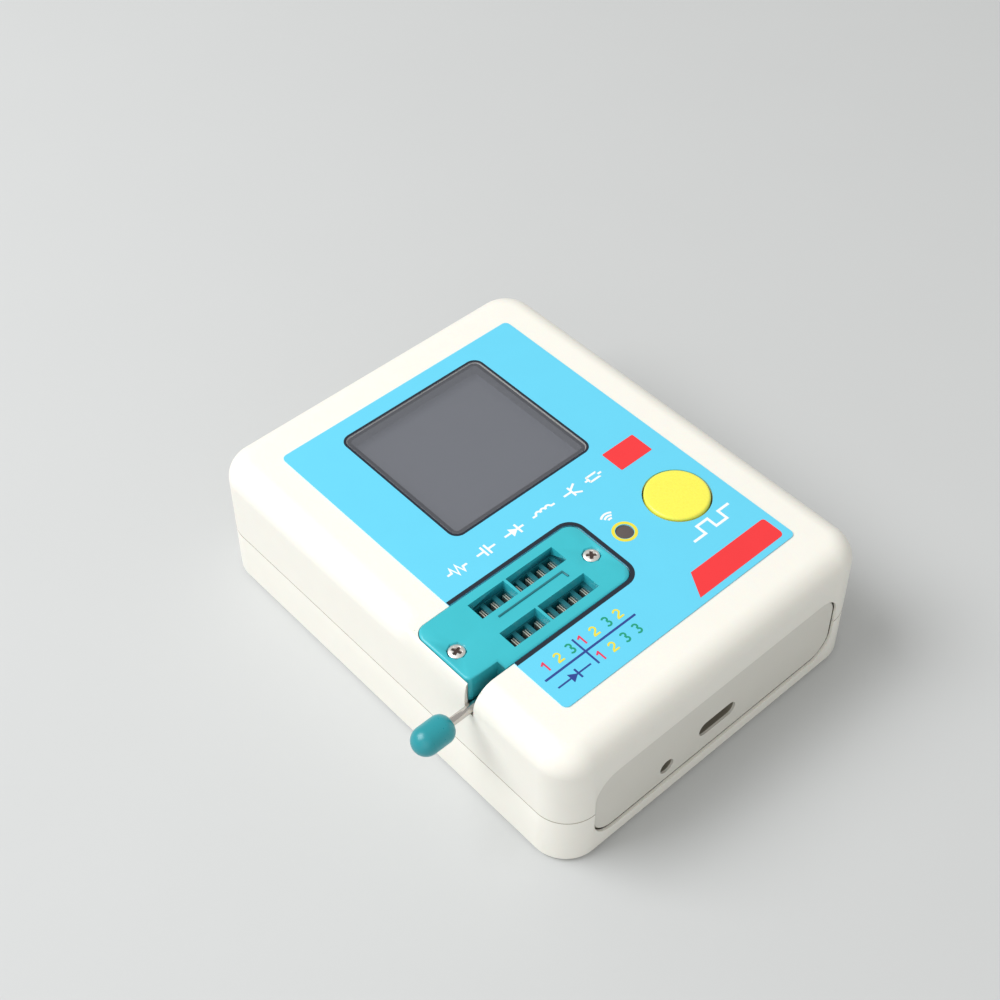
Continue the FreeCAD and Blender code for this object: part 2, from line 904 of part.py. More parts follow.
def zif_slider():
    """Comb plate that the cam pushes along; its ribs stand between the contacts."""
    low = split_z + slider_gap
    high = plate_z - slider_gap
    side = cover_wall + cam_side_gap
    right = socket_right - socket_screw_inset - socket_screw_radius - hole_clearance - screw_boss_wall
    plate = box(
        notch_right + cover_wall + cam_side_gap, right - cam_throw - slider_end_gap,
        socket_near + side, socket_far - side, low, high,
    )
    reach = cam_radius + cam_clearance
    tail = box(pivot_x - reach - fork_prong, notch_right + wall,
               cam_near - cam_side_gap, cam_far + cam_side_gap, low, high)
    fork = box(pivot_x - reach, pivot_x + reach, cam_near - wall, cam_far + wall,
               low - wall, split_z + cam_radius + cam_throw + cam_clearance)
    slots = [fork]
    half = (contact_pitch - comb_rib) / 2
    for x, y in contact_places():
        slots.append(box(x - half, x + half, y - comb_slot_width / 2, y + comb_slot_width / 2,
                         low - wall, high + wall))
    return plate.fuse(tail).removeSplitter().cut(slots)


def zif_contact(x, y):
    """One sprung contact: two leaves on a root, and a pin through the board."""
    left, right = leaf_span(x)
    root = board_top + contact_root_height
    top = plate_z - leaf_below_cover
    half = leaf_width / 2
    fork = box(left, right, y - half, y + half, root, top)
    gap = box(left + leaf_thick, right - leaf_thick, y - leaf_width, y + leaf_width,
              root + contact_root_thick, case_height)
    reach = pin_size / 2
    middle = (left + right) / 2
    pin = box(middle - reach, middle + reach, y - reach, y + reach, board_height - pin_length_below, root)
    return fork.cut(gap).fuse(pin).removeSplitter()


def zif_contacts():
    """The fourteen contacts."""
    return [zif_contact(x, y) for x, y in contact_places()]


def zif_screws():
    """Two screws that hold the cover on the base."""
    return [
        screw(x, y, socket_top - socket_screw_sink, 1, socket_screw_head_radius, socket_screw_head_height,
              socket_screw_radius, socket_screw_length)
        for x, y in socket_screw_places()
    ]


def zif_lever():
    """Bent rod: the axle across the socket with its cam, and the arm to the knob."""
    axle_end = Vector(pivot_x, axle_end_y, split_z)
    corner = Vector(pivot_x - lever_bend_radius, arm_y, split_z)
    bend = [corner + Vector(out, along, 0) for out, along in reversed(quarter(lever_bend_radius))]
    arm_end = Vector(pivot_x - knob_start - knob_grip_depth, arm_y, split_z)
    path = Part.makePolygon([axle_end] + bend + [arm_end])
    ring = Part.Wire(Part.makeCircle(lever_radius, axle_end, Vector(0, -1, 0)))
    rod = path.makePipeShell([ring], True, False, 1)
    cam_z = split_z + cam_throw
    cam = bar(cam_radius, Vector(pivot_x, cam_near, cam_z), Vector(pivot_x, cam_far, cam_z))
    return rod.fuse(cam).removeSplitter()


def lever_knob():
    """Capsule-shaped knob moulded on the end of the arm."""
    profile = [(0, 0)]
    for out, along in quarter(knob_nose):
        profile.append((knob_radius - knob_nose + out, along))
    for out, along in reversed(quarter(knob_radius)):
        profile.append((out, knob_length - along))
    start = Vector(pivot_x - knob_start, arm_y, split_z)
    knob = turned(profile, start, Vector(-1, 0, 0), Vector(0, 0, 1))
    grip = bar(lever_radius, start + Vector(wall, 0, 0), start - Vector(knob_grip_depth, 0, 0))
    return knob.cut(grip)


def usb_shell():
    """Folded steel shell of the charging inlet, under the board."""
    x = usb_width / 2
    back = usb_front + usb_depth
    outer = box(usb_x - x, usb_x + x, usb_front, back, board_height - usb_height, board_height)
    lower = edges_along(outer, Vector(0, 1, 0))
    outer = outer.makeFillet(usb_height / 3, [e for e in lower if e.BoundBox.ZMax < usb_z])
    inner = box(usb_x - x + usb_sheet, usb_x + x - usb_sheet, usb_front - wall, back - usb_sheet,
                board_height - usb_height + usb_sheet, board_height - usb_sheet)
    lower = edges_along(inner, Vector(0, 1, 0))
    inner = inner.makeFillet(usb_height / 3 - usb_sheet / 2, [e for e in lower if e.BoundBox.ZMax < usb_z])
    return outer.cut(inner)


def usb_tongue():
    """Contact tongue inside the inlet."""
    back = usb_front + usb_depth - usb_sheet
    x = usb_tongue_width / 2
    z = usb_tongue_thick / 2
    return box(usb_x - x, usb_x + x, back - usb_tongue_length, back, usb_z - z, usb_z + z)


def charge_led():
    """Round indicator behind the hole in the front panel, with leads up to the board."""
    tip = Vector(led_x, -panel_back + led_gap, led_z)
    shoulder = tip + Vector(0, led_radius + led_body_length, 0)
    back = shoulder + Vector(0, led_flange_thick, 0)
    body = peg(led_radius, tip, shoulder)
    body = body.makeChamfer(led_radius / 2, edges_at_depth(body, tip.y))
    flange = peg(led_flange_radius, shoulder, back)
    leads = []
    for side in (-1, 1):
        x = led_x + side * led_lead_pitch / 2
        reach = led_lead / 2
        y = back.y
        leads.append(box(x - reach, x + reach, y - reach, y + led_lead, led_z - reach, board_height))
    return body.fuse([flange] + leads).removeSplitter()


def battery_tape():
    """Foam tape that holds the cell on the floor."""
    x = battery_width / 2 - tape_inset
    y = battery_length / 2 - tape_inset
    return box(battery_x - x, battery_x + x, battery_y - y, battery_y + y, floor_z, floor_z + tape_thick)


def battery_cell():
    """Flat lithium cell."""
    x = battery_width / 2
    y = battery_length / 2
    low = floor_z + tape_thick
    return rounded_block(
        battery_x - x, battery_x + x, battery_y - y, battery_y + y, low, low + battery_thick,
        battery_corner, Vector(0, 1, 0),
    )


def battery_lead(side):
    """One lead from the cell's end up to the board."""
    x = battery_x + side * lead_pitch / 2
    start = battery_y - battery_length / 2
    low = floor_z + tape_thick + battery_thick - lead_drop
    turn_y = start - lead_run + lead_bend_radius
    turn = lead_bend_radius * (1 - math.sqrt(0.5))
    run = Part.makeLine(Vector(x, start, low), Vector(x, turn_y, low))
    bend = Part.Arc(
        Vector(x, turn_y, low),
        Vector(x, turn_y - lead_bend_radius + turn, low + turn),
        Vector(x, turn_y - lead_bend_radius, low + lead_bend_radius),
    ).toShape()
    rise = Part.makeLine(Vector(x, turn_y - lead_bend_radius, low + lead_bend_radius),
                         Vector(x, turn_y - lead_bend_radius, board_height))
    path = Part.Wire([run, bend, rise])
    turns = [2 * math.pi * step / lead_sides for step in range(lead_sides + 1)]
    corners = [Vector(x + lead_radius * math.cos(a), start, low + lead_radius * math.sin(a)) for a in turns]
    section = Part.makePolygon(corners)
    return path.makePipeShell([section], True, False)


def main_chip():
    """Controller on the upper side of the board, beside the display."""
    x = -board_half_width + post_inset_x + chip_size
    y = window_y
    half = chip_size / 2
    return box(x - half, x + half, y - half, y + half, board_top, board_top + chip_thick)


def charge_chip():
    """Charging chip on the underside, beside the inlet."""
    x = usb_x + usb_width + charge_chip_length / 2
    y = -board_half_length + usb_depth
    return box(x, x + charge_chip_length, y, y + charge_chip_width,
               board_height - charge_chip_thick, board_height)


def crystal():
    """Timing crystal beside the controller."""
    x = -board_half_width + post_inset_x + chip_size
    y = window_y + chip_size + crystal_width
    block = rounded_block(
        x - crystal_length / 2, x + crystal_length / 2, y - crystal_width / 2, y + crystal_width / 2,
        board_top, board_top + crystal_height, crystal_width / 2 - fit_clearance, Vector(0, 0, 1),
    )
    return block


def board_resistors():
    """Row of test resistors beside the socket."""
    row = []
    x = socket_right + resistor_length
    for step in range(resistor_count):
        y = socket_near - resistor_pitch * (step + 1) / 2
        row.append(box(x + step * resistor_pitch, x + step * resistor_pitch + resistor_length,
                       y, y + resistor_width, board_top, board_top + resistor_thick))
    return row


def solids(shape):
    """The separate solids of a shape or of a list of shapes."""
    shapes = shape if isinstance(shape, list) else [shape]
    return [solid for one in shapes for solid in one.Solids]


pieces = {
    "top_shell": top_shell,
    "bottom_shell": bottom_shell,
    "front_end_panel": front_end_panel,
    "rear_end_panel": rear_end_panel,
    "case_screws": case_screws,
    "face_label": face_label,
    "display_window": display_window,
    "display_bezel": display_bezel,
    "display_glass": display_glass,
    "display_frame": display_frame,
    "display_board": display_board,
    "display_header": display_header,
    "main_board": main_board,
    "board_screws": board_screws,
    "main_chip": main_chip,
    "charge_chip": charge_chip,
    "crystal": crystal,
    "board_resistors": board_resistors,
    "button_cap": button_cap,
    "switch_body": switch_body,
    "switch_plate": switch_plate,
    "switch_plunger": switch_plunger,
    "infrared_receiver": infrared_receiver,
    "zif_base": zif_base,
    "zif_cover": zif_cover,
    "zif_slider": zif_slider,
    "zif_contacts": zif_contacts,
    "zif_screws": zif_screws,
    "zif_lever": zif_lever,
    "lever_knob": lever_knob,
    "usb_shell": usb_shell,
    "usb_tongue": usb_tongue,
    "charge_led": charge_led,
    "battery_cell": battery_cell,
    "battery_tape": battery_tape,
    "battery_lead_red": lambda: battery_lead(-1),
    "battery_lead_black": lambda: battery_lead(1),
}


def main():
    """Build every piece and write it to its own file."""
    os.makedirs("parts", exist_ok=True)
    for name, make in pieces.items():
        found = solids(make())
        shape = found[0] if len(found) == 1 else Part.makeCompound(found)
        print(name, len(found), "solids", round(sum(s.Volume for s in found), 2), "mm3", shape.isValid())
        shape.exportStep("parts/" + name + ".step")


if __name__ == "__main__":
    main()
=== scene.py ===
import logging
from dataclasses import dataclass, field, replace
from enum import Enum

import bmesh
import bpy
import numpy as np
from mathutils import Matrix, Vector


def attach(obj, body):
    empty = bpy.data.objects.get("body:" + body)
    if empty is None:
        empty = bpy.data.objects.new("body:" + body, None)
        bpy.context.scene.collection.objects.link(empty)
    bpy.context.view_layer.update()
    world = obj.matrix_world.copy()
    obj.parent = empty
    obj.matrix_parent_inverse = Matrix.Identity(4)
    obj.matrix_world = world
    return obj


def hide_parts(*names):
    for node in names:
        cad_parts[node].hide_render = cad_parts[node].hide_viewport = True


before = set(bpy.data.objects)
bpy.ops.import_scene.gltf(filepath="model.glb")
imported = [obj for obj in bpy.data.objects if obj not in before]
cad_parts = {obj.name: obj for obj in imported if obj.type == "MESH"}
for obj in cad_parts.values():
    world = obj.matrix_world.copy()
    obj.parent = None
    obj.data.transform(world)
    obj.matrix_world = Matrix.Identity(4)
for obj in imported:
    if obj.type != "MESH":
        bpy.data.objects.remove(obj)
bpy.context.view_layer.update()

MM = 0.001
X_AXIS, Y_AXIS, UP = np.eye(3)
# A direction that no axis of the tester shares, and a radius that stands for a point
ASKEW = np.array([0.31, 0.77, 0.55])
POINT_RADIUS = 1e-4
# What counts as nothing: for a divisor, and for a point beside a face
TINY, TOUCH = 1e-6, 1e-3
# Grains across a board's track, the wave's level where it starts, and the least roughness
TRACK_GRAINS, TRACK_LEVEL, SMOOTHEST = 20, 0.6, 0.02
logging.basicConfig(level=logging.INFO, format="%(name)s: %(message)s")
log = logging.getLogger("tester")

Pair = tuple[float, float]
Triple = tuple[float, float, float]
Four = tuple[float, float, float, float]
Pairs = tuple[Pair, ...]
# Where a screw stands: its axis, its seat, its way up (1 or -1) and its turn in degrees
Station = tuple[float, float, float, int, float]


class Body(Enum):
    """Moving bodies of the tester."""

    CASE = "case"
    BUTTON = "start_button"
    LEVER = "lever"


class Pattern(Enum):
    """How a finish varies over its surface."""

    MOULDED = "fine mould grain"
    TRACKS = "tracks under lacquer"
    CREASED = "creased foil"
    PIXELS = "rows of picture cells"


def linear(hex_colour: str) -> Four:
    """Turns an sRGB hex colour to linear values.

    Args:
        hex_colour: Six hex digits, with or without a leading mark.

    Returns:
        Linear red, green, blue and an alpha of one.
    """
    digits = hex_colour.lstrip("#")
    values = np.array([int(digits[i:i + 2], 16) for i in (0, 2, 4)]) / 255
    lin = np.where(values <= 0.04045, values / 12.92, ((values + 0.055) / 1.055) ** 2.4)
    return (*lin.tolist(), 1.0)


def add_node(tree: bpy.types.NodeTree, kind: str, settings: dict, links: dict) -> bpy.types.Node:
    """Adds one node with its settings and incoming links.

    Args:
        tree: Node tree that gets the node.
        kind: Blender's name of the node type.
        settings: Values by property name, or by input number or name.
        links: Output sockets by the input that they feed.

    Returns:
        The new node.
    """
    node = tree.nodes.new(kind)
    for key, value in settings.items():
        if isinstance(key, str) and hasattr(node, key):
            setattr(node, key, value)
        else:
            node.inputs[key].default_value = value
    for key, socket in links.items():
        tree.links.new(socket, node.inputs[key])
    return node


@dataclass(frozen=True)
class Finish:
    """One real material: what it is made of and what that gives the eye.

    Sizes are in millimetres. The colour wanders by the tone, over the drift in grains, and the
    roughness by the polish. The pattern is stretched by the along factors.
    """

    name: str
    colour: str
    roughness: float
    ior: float = 1.5
    metallic: float = 0.0
    pattern: Pattern = Pattern.MOULDED
    grain: float = 0.35
    relief: float = 0.004
    tone: float = 0.04
    drift: float = 12.0
    polish: float = 0.06
    along: Triple = (1.0, 1.0, 1.0)
    coat: float = 0.0
    coat_roughness: float = 0.08
    alpha: float = 1.0
    subsurface: float = 0.0

    def material(self) -> bpy.types.Material:
        """Builds the node material once and gives it back on later calls.

        Returns:
            The material.
        """
        if made := bpy.data.materials.get(self.name):
            return made
        made = bpy.data.materials.new(self.name)
        made.use_nodes = True
        shader = made.node_tree.nodes["Principled BSDF"]
        constants = {"Metallic": self.metallic, "IOR": self.ior, "Alpha": self.alpha,
                     "Coat Weight": self.coat, "Coat Roughness": self.coat_roughness,
                     "Subsurface Weight": self.subsurface, "Subsurface Scale": MM}
        for socket, value in constants.items():
            shader.inputs[socket].default_value = value
        self.paint(made.node_tree, shader)
        return made

    def paint(self, tree: bpy.types.NodeTree, shader: bpy.types.Node) -> None:
        """Links colour, roughness and relief to the pattern, on Object coordinates.

        A slow noise moves the colour. The fine pattern moves the roughness and the bump.

        Args:
            tree: Node tree of the material.
            shader: Its principled shader.
        """
        coords = add_node(tree, "ShaderNodeTexCoord", {}, {})
        place = add_node(tree, "ShaderNodeMapping", {"Scale": self.along}, {0: coords.outputs["Object"]})
        fine = self.height(tree, place)
        wander = {"Scale": 1 / (self.drift * self.grain * MM), "Detail": 3.0}
        slow = add_node(tree, "ShaderNodeTexNoise", wander, {"Vector": place.outputs[0]})
        dark, light = self.shade(1 - self.tone), self.shade(1 + self.tone)
        ramp = add_node(tree, "ShaderNodeMix", {"data_type": "RGBA", 6: dark, 7: light}, {0: slow.outputs[0]})
        smooth, rough = np.clip(self.roughness + np.array([-1, 1]) * self.polish, SMOOTHEST, 1)
        gloss = add_node(tree, "ShaderNodeMapRange", {3: smooth, 4: rough}, {0: fine})
        depth = {"Strength": 1.0, "Distance": self.relief * MM}
        bump = add_node(tree, "ShaderNodeBump", depth, {"Height": fine})
        for output, name in ((ramp.outputs[2], "Base Color"), (gloss.outputs[0], "Roughness"),
                             (bump.outputs[0], "Normal")):
            tree.links.new(output, shader.inputs[name])

    def height(self, tree: bpy.types.NodeTree, place: bpy.types.Node) -> bpy.types.NodeSocket:
        """Gives the pattern's height, from 0 to 1.

        Args:
            tree: Node tree of the material.
            place: Mapping node with the coordinates in metres.

        Returns:
            Socket with the height.
        """
        scale = 1 / (self.grain * MM)
        vector = {"Vector": place.outputs[0]}
        if self.pattern is Pattern.CREASED:
            settings = {"feature": "SMOOTH_F1", "Scale": scale}
            return add_node(tree, "ShaderNodeTexVoronoi", settings, vector).outputs[0]
        if self.pattern is Pattern.PIXELS:
            return add_node(tree, "ShaderNodeTexChecker", {"Scale": scale}, vector).outputs[1]
        if self.pattern is Pattern.TRACKS:
            settings = {"wave_profile": "SIN", "bands_direction": "X", "Distortion": 3.0,
                        "Scale": scale / TRACK_GRAINS}
            wave = add_node(tree, "ShaderNodeTexWave", settings, vector)
            above = {"operation": "GREATER_THAN", 1: TRACK_LEVEL}
            return add_node(tree, "ShaderNodeMath", above, {0: wave.outputs[1]}).outputs[0]
        return add_node(tree, "ShaderNodeTexNoise", {"Scale": scale, "Detail": 2.0}, vector).outputs[0]

    def shade(self, factor: float) -> Four:
        """Gives the linear colour times a factor, with an alpha of one."""
        return (*np.clip(np.array(linear(self.colour)[:3]) * factor, 0, 1).tolist(), 1.0)


def ink(name: str, colour: str, tone: float = 0.03) -> Finish:
    """Gives a printing ink: thin, even and slightly glossier than the film."""
    return Finish(name, colour, 0.34, grain=0.4, relief=0.001, tone=tone)


class Finishes:
    """Every finish of the tester."""

    # Moulded ABS: off-white and satin, with the fine spark-eroded grain of the tool
    SHELL = Finish("white_abs", "#F1EFE7", 0.42, 1.53, grain=0.3, relief=0.006, tone=0.015, subsurface=0.05)
    # The end panels come from another batch of moulded ABS: greyer than the case
    PANEL = replace(SHELL, name="grey_white_abs", colour="#DCDAD2", roughness=0.45, subsurface=0.03)
    # Dust in the joints of the case, with painted shade in the seam: a dull warm grey
    JOINT = Finish("joint_dust_and_painted_shade", "#A39A8A", 0.9, 1.45, grain=0.5, relief=0.0, tone=0.05)
    # Painted shade: a dark warm strip that fills the gaps round the end panels
    GAP = replace(JOINT, name="painted_gap_shade", colour="#3F392F")
    # Screen-printed polyester film: even pale blue with a soft sheen
    FILM = Finish("blue_polyester_film", "#62D0F0", 0.36, 1.57, grain=0.5, relief=0.002, tone=0.02,
                  polish=0.04)
    # Clear polyester film over the display: almost invisible, but it mirrors the room
    CLEAR = Finish("clear_polyester_film", "#8C8F98", 0.12, 1.57, grain=2.5, relief=0.001, tone=0.02,
                   polish=0.03, alpha=0.3)
    # Unlit liquid crystal panel: neutral grey behind polished glass, with its cell pitch
    DISPLAY = Finish("liquid_crystal_panel", "#666972", 0.2, 1.52, pattern=Pattern.PIXELS, grain=0.15,
                     relief=0.0, tone=0.01, polish=0.01, coat=0.3)
    # Moulded black ABS frame: matte and dark
    BEZEL = Finish("black_abs", "#17181C", 0.5, 1.53, grain=0.3, relief=0.004)
    # Moulded polycarbonate light frame: white and faintly glossy
    LIGHT_FRAME = Finish("white_polycarbonate", "#E4E4DF", 0.4, 1.58, grain=0.4, tone=0.02)
    # Glass-fibre board under green lacquer: glossy, with the tracks faintly raised
    BOARD = Finish("lacquered_glass_epoxy", "#0F5A37", 0.3, 1.55, pattern=Pattern.TRACKS, grain=1.2,
                   relief=0.03, tone=0.12, coat=0.3)
    # Pressed chip housings: black epoxy, dull
    EPOXY = Finish("black_epoxy", "#1B1B1D", 0.55, 1.55, grain=0.2, relief=0.004)
    # Bright drawn steel: silvery, with faint lines along the wire, coarser than real so that they show
    ROD = Finish("drawn_steel", "#CFCAC6", 0.2, metallic=1.0, grain=0.25, relief=0.003, tone=0.05,
                 along=(0.08, 0.08, 1.0))
    # Nickelled screw steel: bright and softly turned
    SCREW = Finish("nickelled_steel", "#F0EEEA", 0.44, metallic=1.0, grain=0.2, relief=0.002, tone=0.06)
    # Painted shade in the cross recess of a screw: brown-black
    RECESS = Finish("steel_recess_shade", "#3A2A24", 0.6, grain=0.2, relief=0.002, tone=0.1)
    # Folded sheet of the inlet: dull tin over steel
    INLET = replace(SCREW, name="dull_tinned_steel", colour="#5E5C59", roughness=0.45, grain=0.3)
    # Tinned bronze contacts: pale, warm and dulled by use
    CONTACT = replace(SCREW, name="tinned_bronze", colour="#EDE9DD", roughness=0.5)
    # Painted shade: dull grey sleeves that line the front openings, darker than the white panel round them
    SLEEVE = Finish("grey_opening_shade", "#807B6E", 0.6, 1.53, grain=0.3, relief=0.004)
    # Glass-filled moulded PBT: turquoise and satin, with a faint flow pattern
    SOCKET = Finish("turquoise_pbt", "#34BAC8", 0.36, 1.55, tone=0.05)
    # Painted shade: the comb plate, the lower half and the knob are deeper shades of the turquoise, for the
    # shade in the socket's windows and wells, in the lever's notch and on the knob
    COMB = Finish("painted_shade_teal", "#17717C", 0.4, 1.55, tone=0.05)
    LOWER = Finish("painted_shade_dark_teal", "#072125", 0.5, 1.55, tone=0.05)
    KNOB = Finish("painted_shade_turquoise", "#22949F", 0.3, 1.53, grain=0.5, relief=0.003, tone=0.05,
                  subsurface=0.02)
    # Polished yellow ABS of the button: bright, with soft highlights
    BUTTON = Finish("yellow_abs", "#F5EE56", 0.28, 1.53, grain=0.5, relief=0.001, tone=0.015, subsurface=0.05)
    # Cast lenses: dark infrared epoxy, and the smoky epoxy of an unlit lamp
    DARK_LENS = Finish("infrared_epoxy", "#5A504E", 0.35, 1.55, grain=0.6, relief=0.0, tone=0.05)
    SMOKY_LENS = Finish("smoky_epoxy", "#2B2826", 0.3, 1.55, grain=0.8, relief=0.0)
    # Aluminium laminate of the pouch cell: silver with soft creases
    FOIL = Finish("aluminium_laminate", "#BFC2C6", 0.35, metallic=1.0, pattern=Pattern.CREASED,
                  grain=4.0, relief=0.05)
    # Foam tape with open pores, and soft dull wire sleeves
    FOAM = Finish("acrylic_foam", "#E2E1DA", 0.85, 1.45, pattern=Pattern.CREASED, grain=0.5, relief=0.06)
    RED_SLEEVE = Finish("red_silicone", "#B01818", 0.5, 1.42, grain=0.5)
    BLACK_SLEEVE = Finish("black_silicone", "#151515", 0.5, 1.42, grain=0.5)
    # Printing inks: flat bright colours
    NAVY_INK = ink("navy_ink", "#14202F", 0.05)
    BLUE_INK = ink("deep_blue_ink", "#27408F", 0.05)
    RED_INK = ink("red_ink", "#EF3338")
    PINK_INK = ink("crimson_ink", "#E23A5E")
    YELLOW_INK = ink("yellow_ink", "#EBDD3F")
    GREEN_INK = ink("green_ink", "#139A77")
    WHITE_INK = ink("white_ink", "#F4F7F6", 0.02)


def add_object(name: str, data: bpy.types.ID) -> bpy.types.Object:
    """Adds an object with its mesh, lamp or camera to the scene, at the origin."""
    bpy.context.scene.collection.objects.link(obj := bpy.data.objects.new(name, data))
    return obj


def ride(obj: bpy.types.Object, body: Body, slot: str, *nodes: str) -> None:
    """Sets a piece on its body, and hides the solids that it stands for.

    Args:
        obj: The finished piece.
        body: Body that carries it.
        slot: Material slot of the record; not used.
        nodes: Solids that it replaces.
    """
    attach(obj, body.value)
    if nodes:
        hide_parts(*nodes)
    log.info("%s: %d faces on %s", obj.name, len(obj.data.polygons), body.value)


@dataclass
class Surface:
    """Closed surface: points in millimetres, quads and the caps of open ends, as point numbers."""

    points: np.ndarray
    quads: np.ndarray
    caps: list[np.ndarray]

    @staticmethod
    def joined(parts: list["Surface"]) -> "Surface":
        """Puts several surfaces into one.

        Args:
            parts: Surfaces to join.

        Returns:
            All their points and faces.
        """
        starts = np.cumsum([0] + [len(part.points) for part in parts[:-1]])
        quads = [part.quads + start for part, start in zip(parts, starts)]
        caps = [cap + start for part, start in zip(parts, starts) for cap in part.caps]
        return Surface(np.concatenate([part.points for part in parts]), np.concatenate(quads), caps)

    def volume(self) -> float:
        """Gives the signed volume: a sixth of the sum of the triple products of fan triangles.

        Returns:
            Cubic millimetres, below zero if the faces point inwards.
        """
        fans = [self.quads[:, [0, 1, 2]], self.quads[:, [0, 2, 3]]]
        fans += [np.stack([np.full(len(cap) - 2, cap[0]), cap[1:-1], cap[2:]], -1) for cap in self.caps]
        a, b, c = np.moveaxis(self.points[np.concatenate(fans)], 1, 0)
        return float(np.einsum("ij,ij->", a, np.cross(b, c)) / 6)

    def outward(self) -> "Surface":
        """Gives the surface with its faces pointing outwards."""
        turn = slice(None, None, 1 if self.volume() >= 0 else -1)
        return replace(self, quads=self.quads[:, turn], caps=[cap[turn] for cap in self.caps])

    def piece(self, name: str, finish: Finish, slot: str, *nodes: str, body: Body = Body.CASE,
              crease: float = 35.0) -> None:
        """Makes a piece in metres, smooth except at sharp edges.

        Args:
            name: Name of the piece.
            finish: Its material.
            slot: Material slot of the record.
            nodes: Solids that it stands for.
            body: Body that carries it.
            crease: Angle in degrees above which an edge stays sharp.
        """
        mesh = bpy.data.meshes.new(name)
        faces = self.quads.tolist() + [cap.tolist() for cap in self.caps]
        mesh.from_pydata((self.points * MM).tolist(), [], faces)
        mesh.shade_smooth()
        mesh.set_sharp_from_angle(angle=np.radians(crease))
        mesh.materials.append(finish.material())
        ride(add_object(name, mesh), body, slot, *nodes)


def grid(points: np.ndarray, wrap: bool) -> Surface:
    """Covers a grid of points with quads, and closes open ends with flat caps.

    Args:
        points: Array of rows, columns and xyz. The columns always close on themselves.
        wrap: Whether the last row joins the first.

    Returns:
        The surface, with its faces outwards.
    """
    rows, cols = points.shape[:2]
    u = np.arange(rows if wrap else rows - 1)[:, None]
    v = np.arange(cols)[None, :]
    un, vn = (u + 1) % rows, (v + 1) % cols
    quads = np.stack([u * cols + v, un * cols + v, un * cols + vn, u * cols + vn], -1).reshape(-1, 4)
    ring = np.arange(cols)
    caps = [] if wrap else [ring[::-1], ring + (rows - 1) * cols]
    return Surface(points.reshape(-1, 3), quads, caps).outward()


def unit(rows: np.ndarray) -> np.ndarray:
    """Scales each row to a length of one."""
    return rows / np.linalg.norm(rows, axis=1, keepdims=True)


def raised(flat: list | np.ndarray, z: float) -> np.ndarray:
    """Lifts pairs of x and y to a height."""
    return np.insert(np.array(flat, float), 2, z, axis=1)


def bar(left: float, right: float, low: float, high: float) -> np.ndarray:
    """Gives the corners of a rectangle, as a profile for a sweep."""
    return np.array([[left, low], [right, low], [right, high], [left, high]])


def sweep(path: np.ndarray, profile: np.ndarray, closed: bool = False) -> Surface:
    """Carries a flat profile along a path that lies level.

    Each point is path + side * a + up * b, where side is up x tangent, widened at corners so
    that the strip keeps its width, and (a, b) runs round the profile.

    Args:
        path: Points in millimetres, one row each.
        profile: Pairs of sideways and upward distance.
        closed: Whether the path returns to its start.

    Returns:
        The closed surface.
    """
    if closed:
        ahead, behind = np.roll(path, -1, 0) - path, path - np.roll(path, 1, 0)
    else:
        steps = np.diff(path, axis=0)
        ahead, behind = np.vstack([steps, steps[-1]]), np.vstack([steps[0], steps])
    ahead = unit(ahead)
    tangent = unit(ahead + unit(behind))
    widen = 1 / np.clip(np.einsum("ij,ij->i", tangent, ahead), 0.5, 1)
    side = np.cross(UP, tangent) * widen[:, None]
    points = path[:, None] + side[:, None] * profile[None, :, :1] + UP * profile[None, :, 1:]
    return grid(points, closed)


def turned(profile: np.ndarray, foot: Triple, axis: np.ndarray, steps: int = 64) -> Surface:
    """Turns a half profile: point = foot + axis * h + r * (cos t, sin t) across the axis.

    Args:
        profile: Pairs of radius and height, from one end on the axis to the other.
        foot: Where the axis starts, in millimetres.
        axis: Its direction.
        steps: Steps round the axis.

    Returns:
        The closed surface.
    """
    across = np.cross(axis, ASKEW)
    across /= np.linalg.norm(across)
    other = np.cross(axis, across)
    t = np.linspace(0, 2 * np.pi, steps, endpoint=False)
    ring = np.cos(t)[:, None] * across + np.sin(t)[:, None] * other
    r = np.maximum(profile[:, :1], POINT_RADIUS)
    return grid(np.array(foot) + profile[:, None, 1:] * axis + r[:, None] * ring[None], False)


def arc(radius: float, start: float, end: float, steps: int = 10) -> np.ndarray:
    """Gives points on a circle about zero between two angles in degrees."""
    t = np.radians(np.linspace(start, end, steps))
    return np.stack([radius * np.cos(t), radius * np.sin(t)], -1)


def round_box(box: Four, radius: float, steps: int = 8) -> np.ndarray:
    """Gives the outline of a rectangle with round corners, anticlockwise.

    Args:
        box: Left, right, near and far edge.
        radius: Radius of the corners.
        steps: Points in each corner.

    Returns:
        Pairs of x and y.
    """
    x0, x1, y0, y1 = np.array(box) + np.array([1, -1, 1, -1]) * radius
    corners = ((x1, y1, 0), (x0, y1, 90), (x0, y0, 180), (x1, y0, 270))
    return np.concatenate([arc(radius, a, a + 90, steps) + [x, y] for x, y, a in corners])


def prism(outline: np.ndarray, low: float, high: float) -> Surface:
    """Makes an upright solid over a flat outline, between two heights."""
    return grid(np.stack([raised(outline, low), raised(outline, high)]), False)


def read(items: bpy.types.bpy_prop_collection, name: str, width: int) -> np.ndarray:
    """Reads a property of a mesh's points, edges or faces, of so many numbers each."""
    items.foreach_get(name, flat := np.empty(len(items) * width))
    return flat.reshape(-1, width)


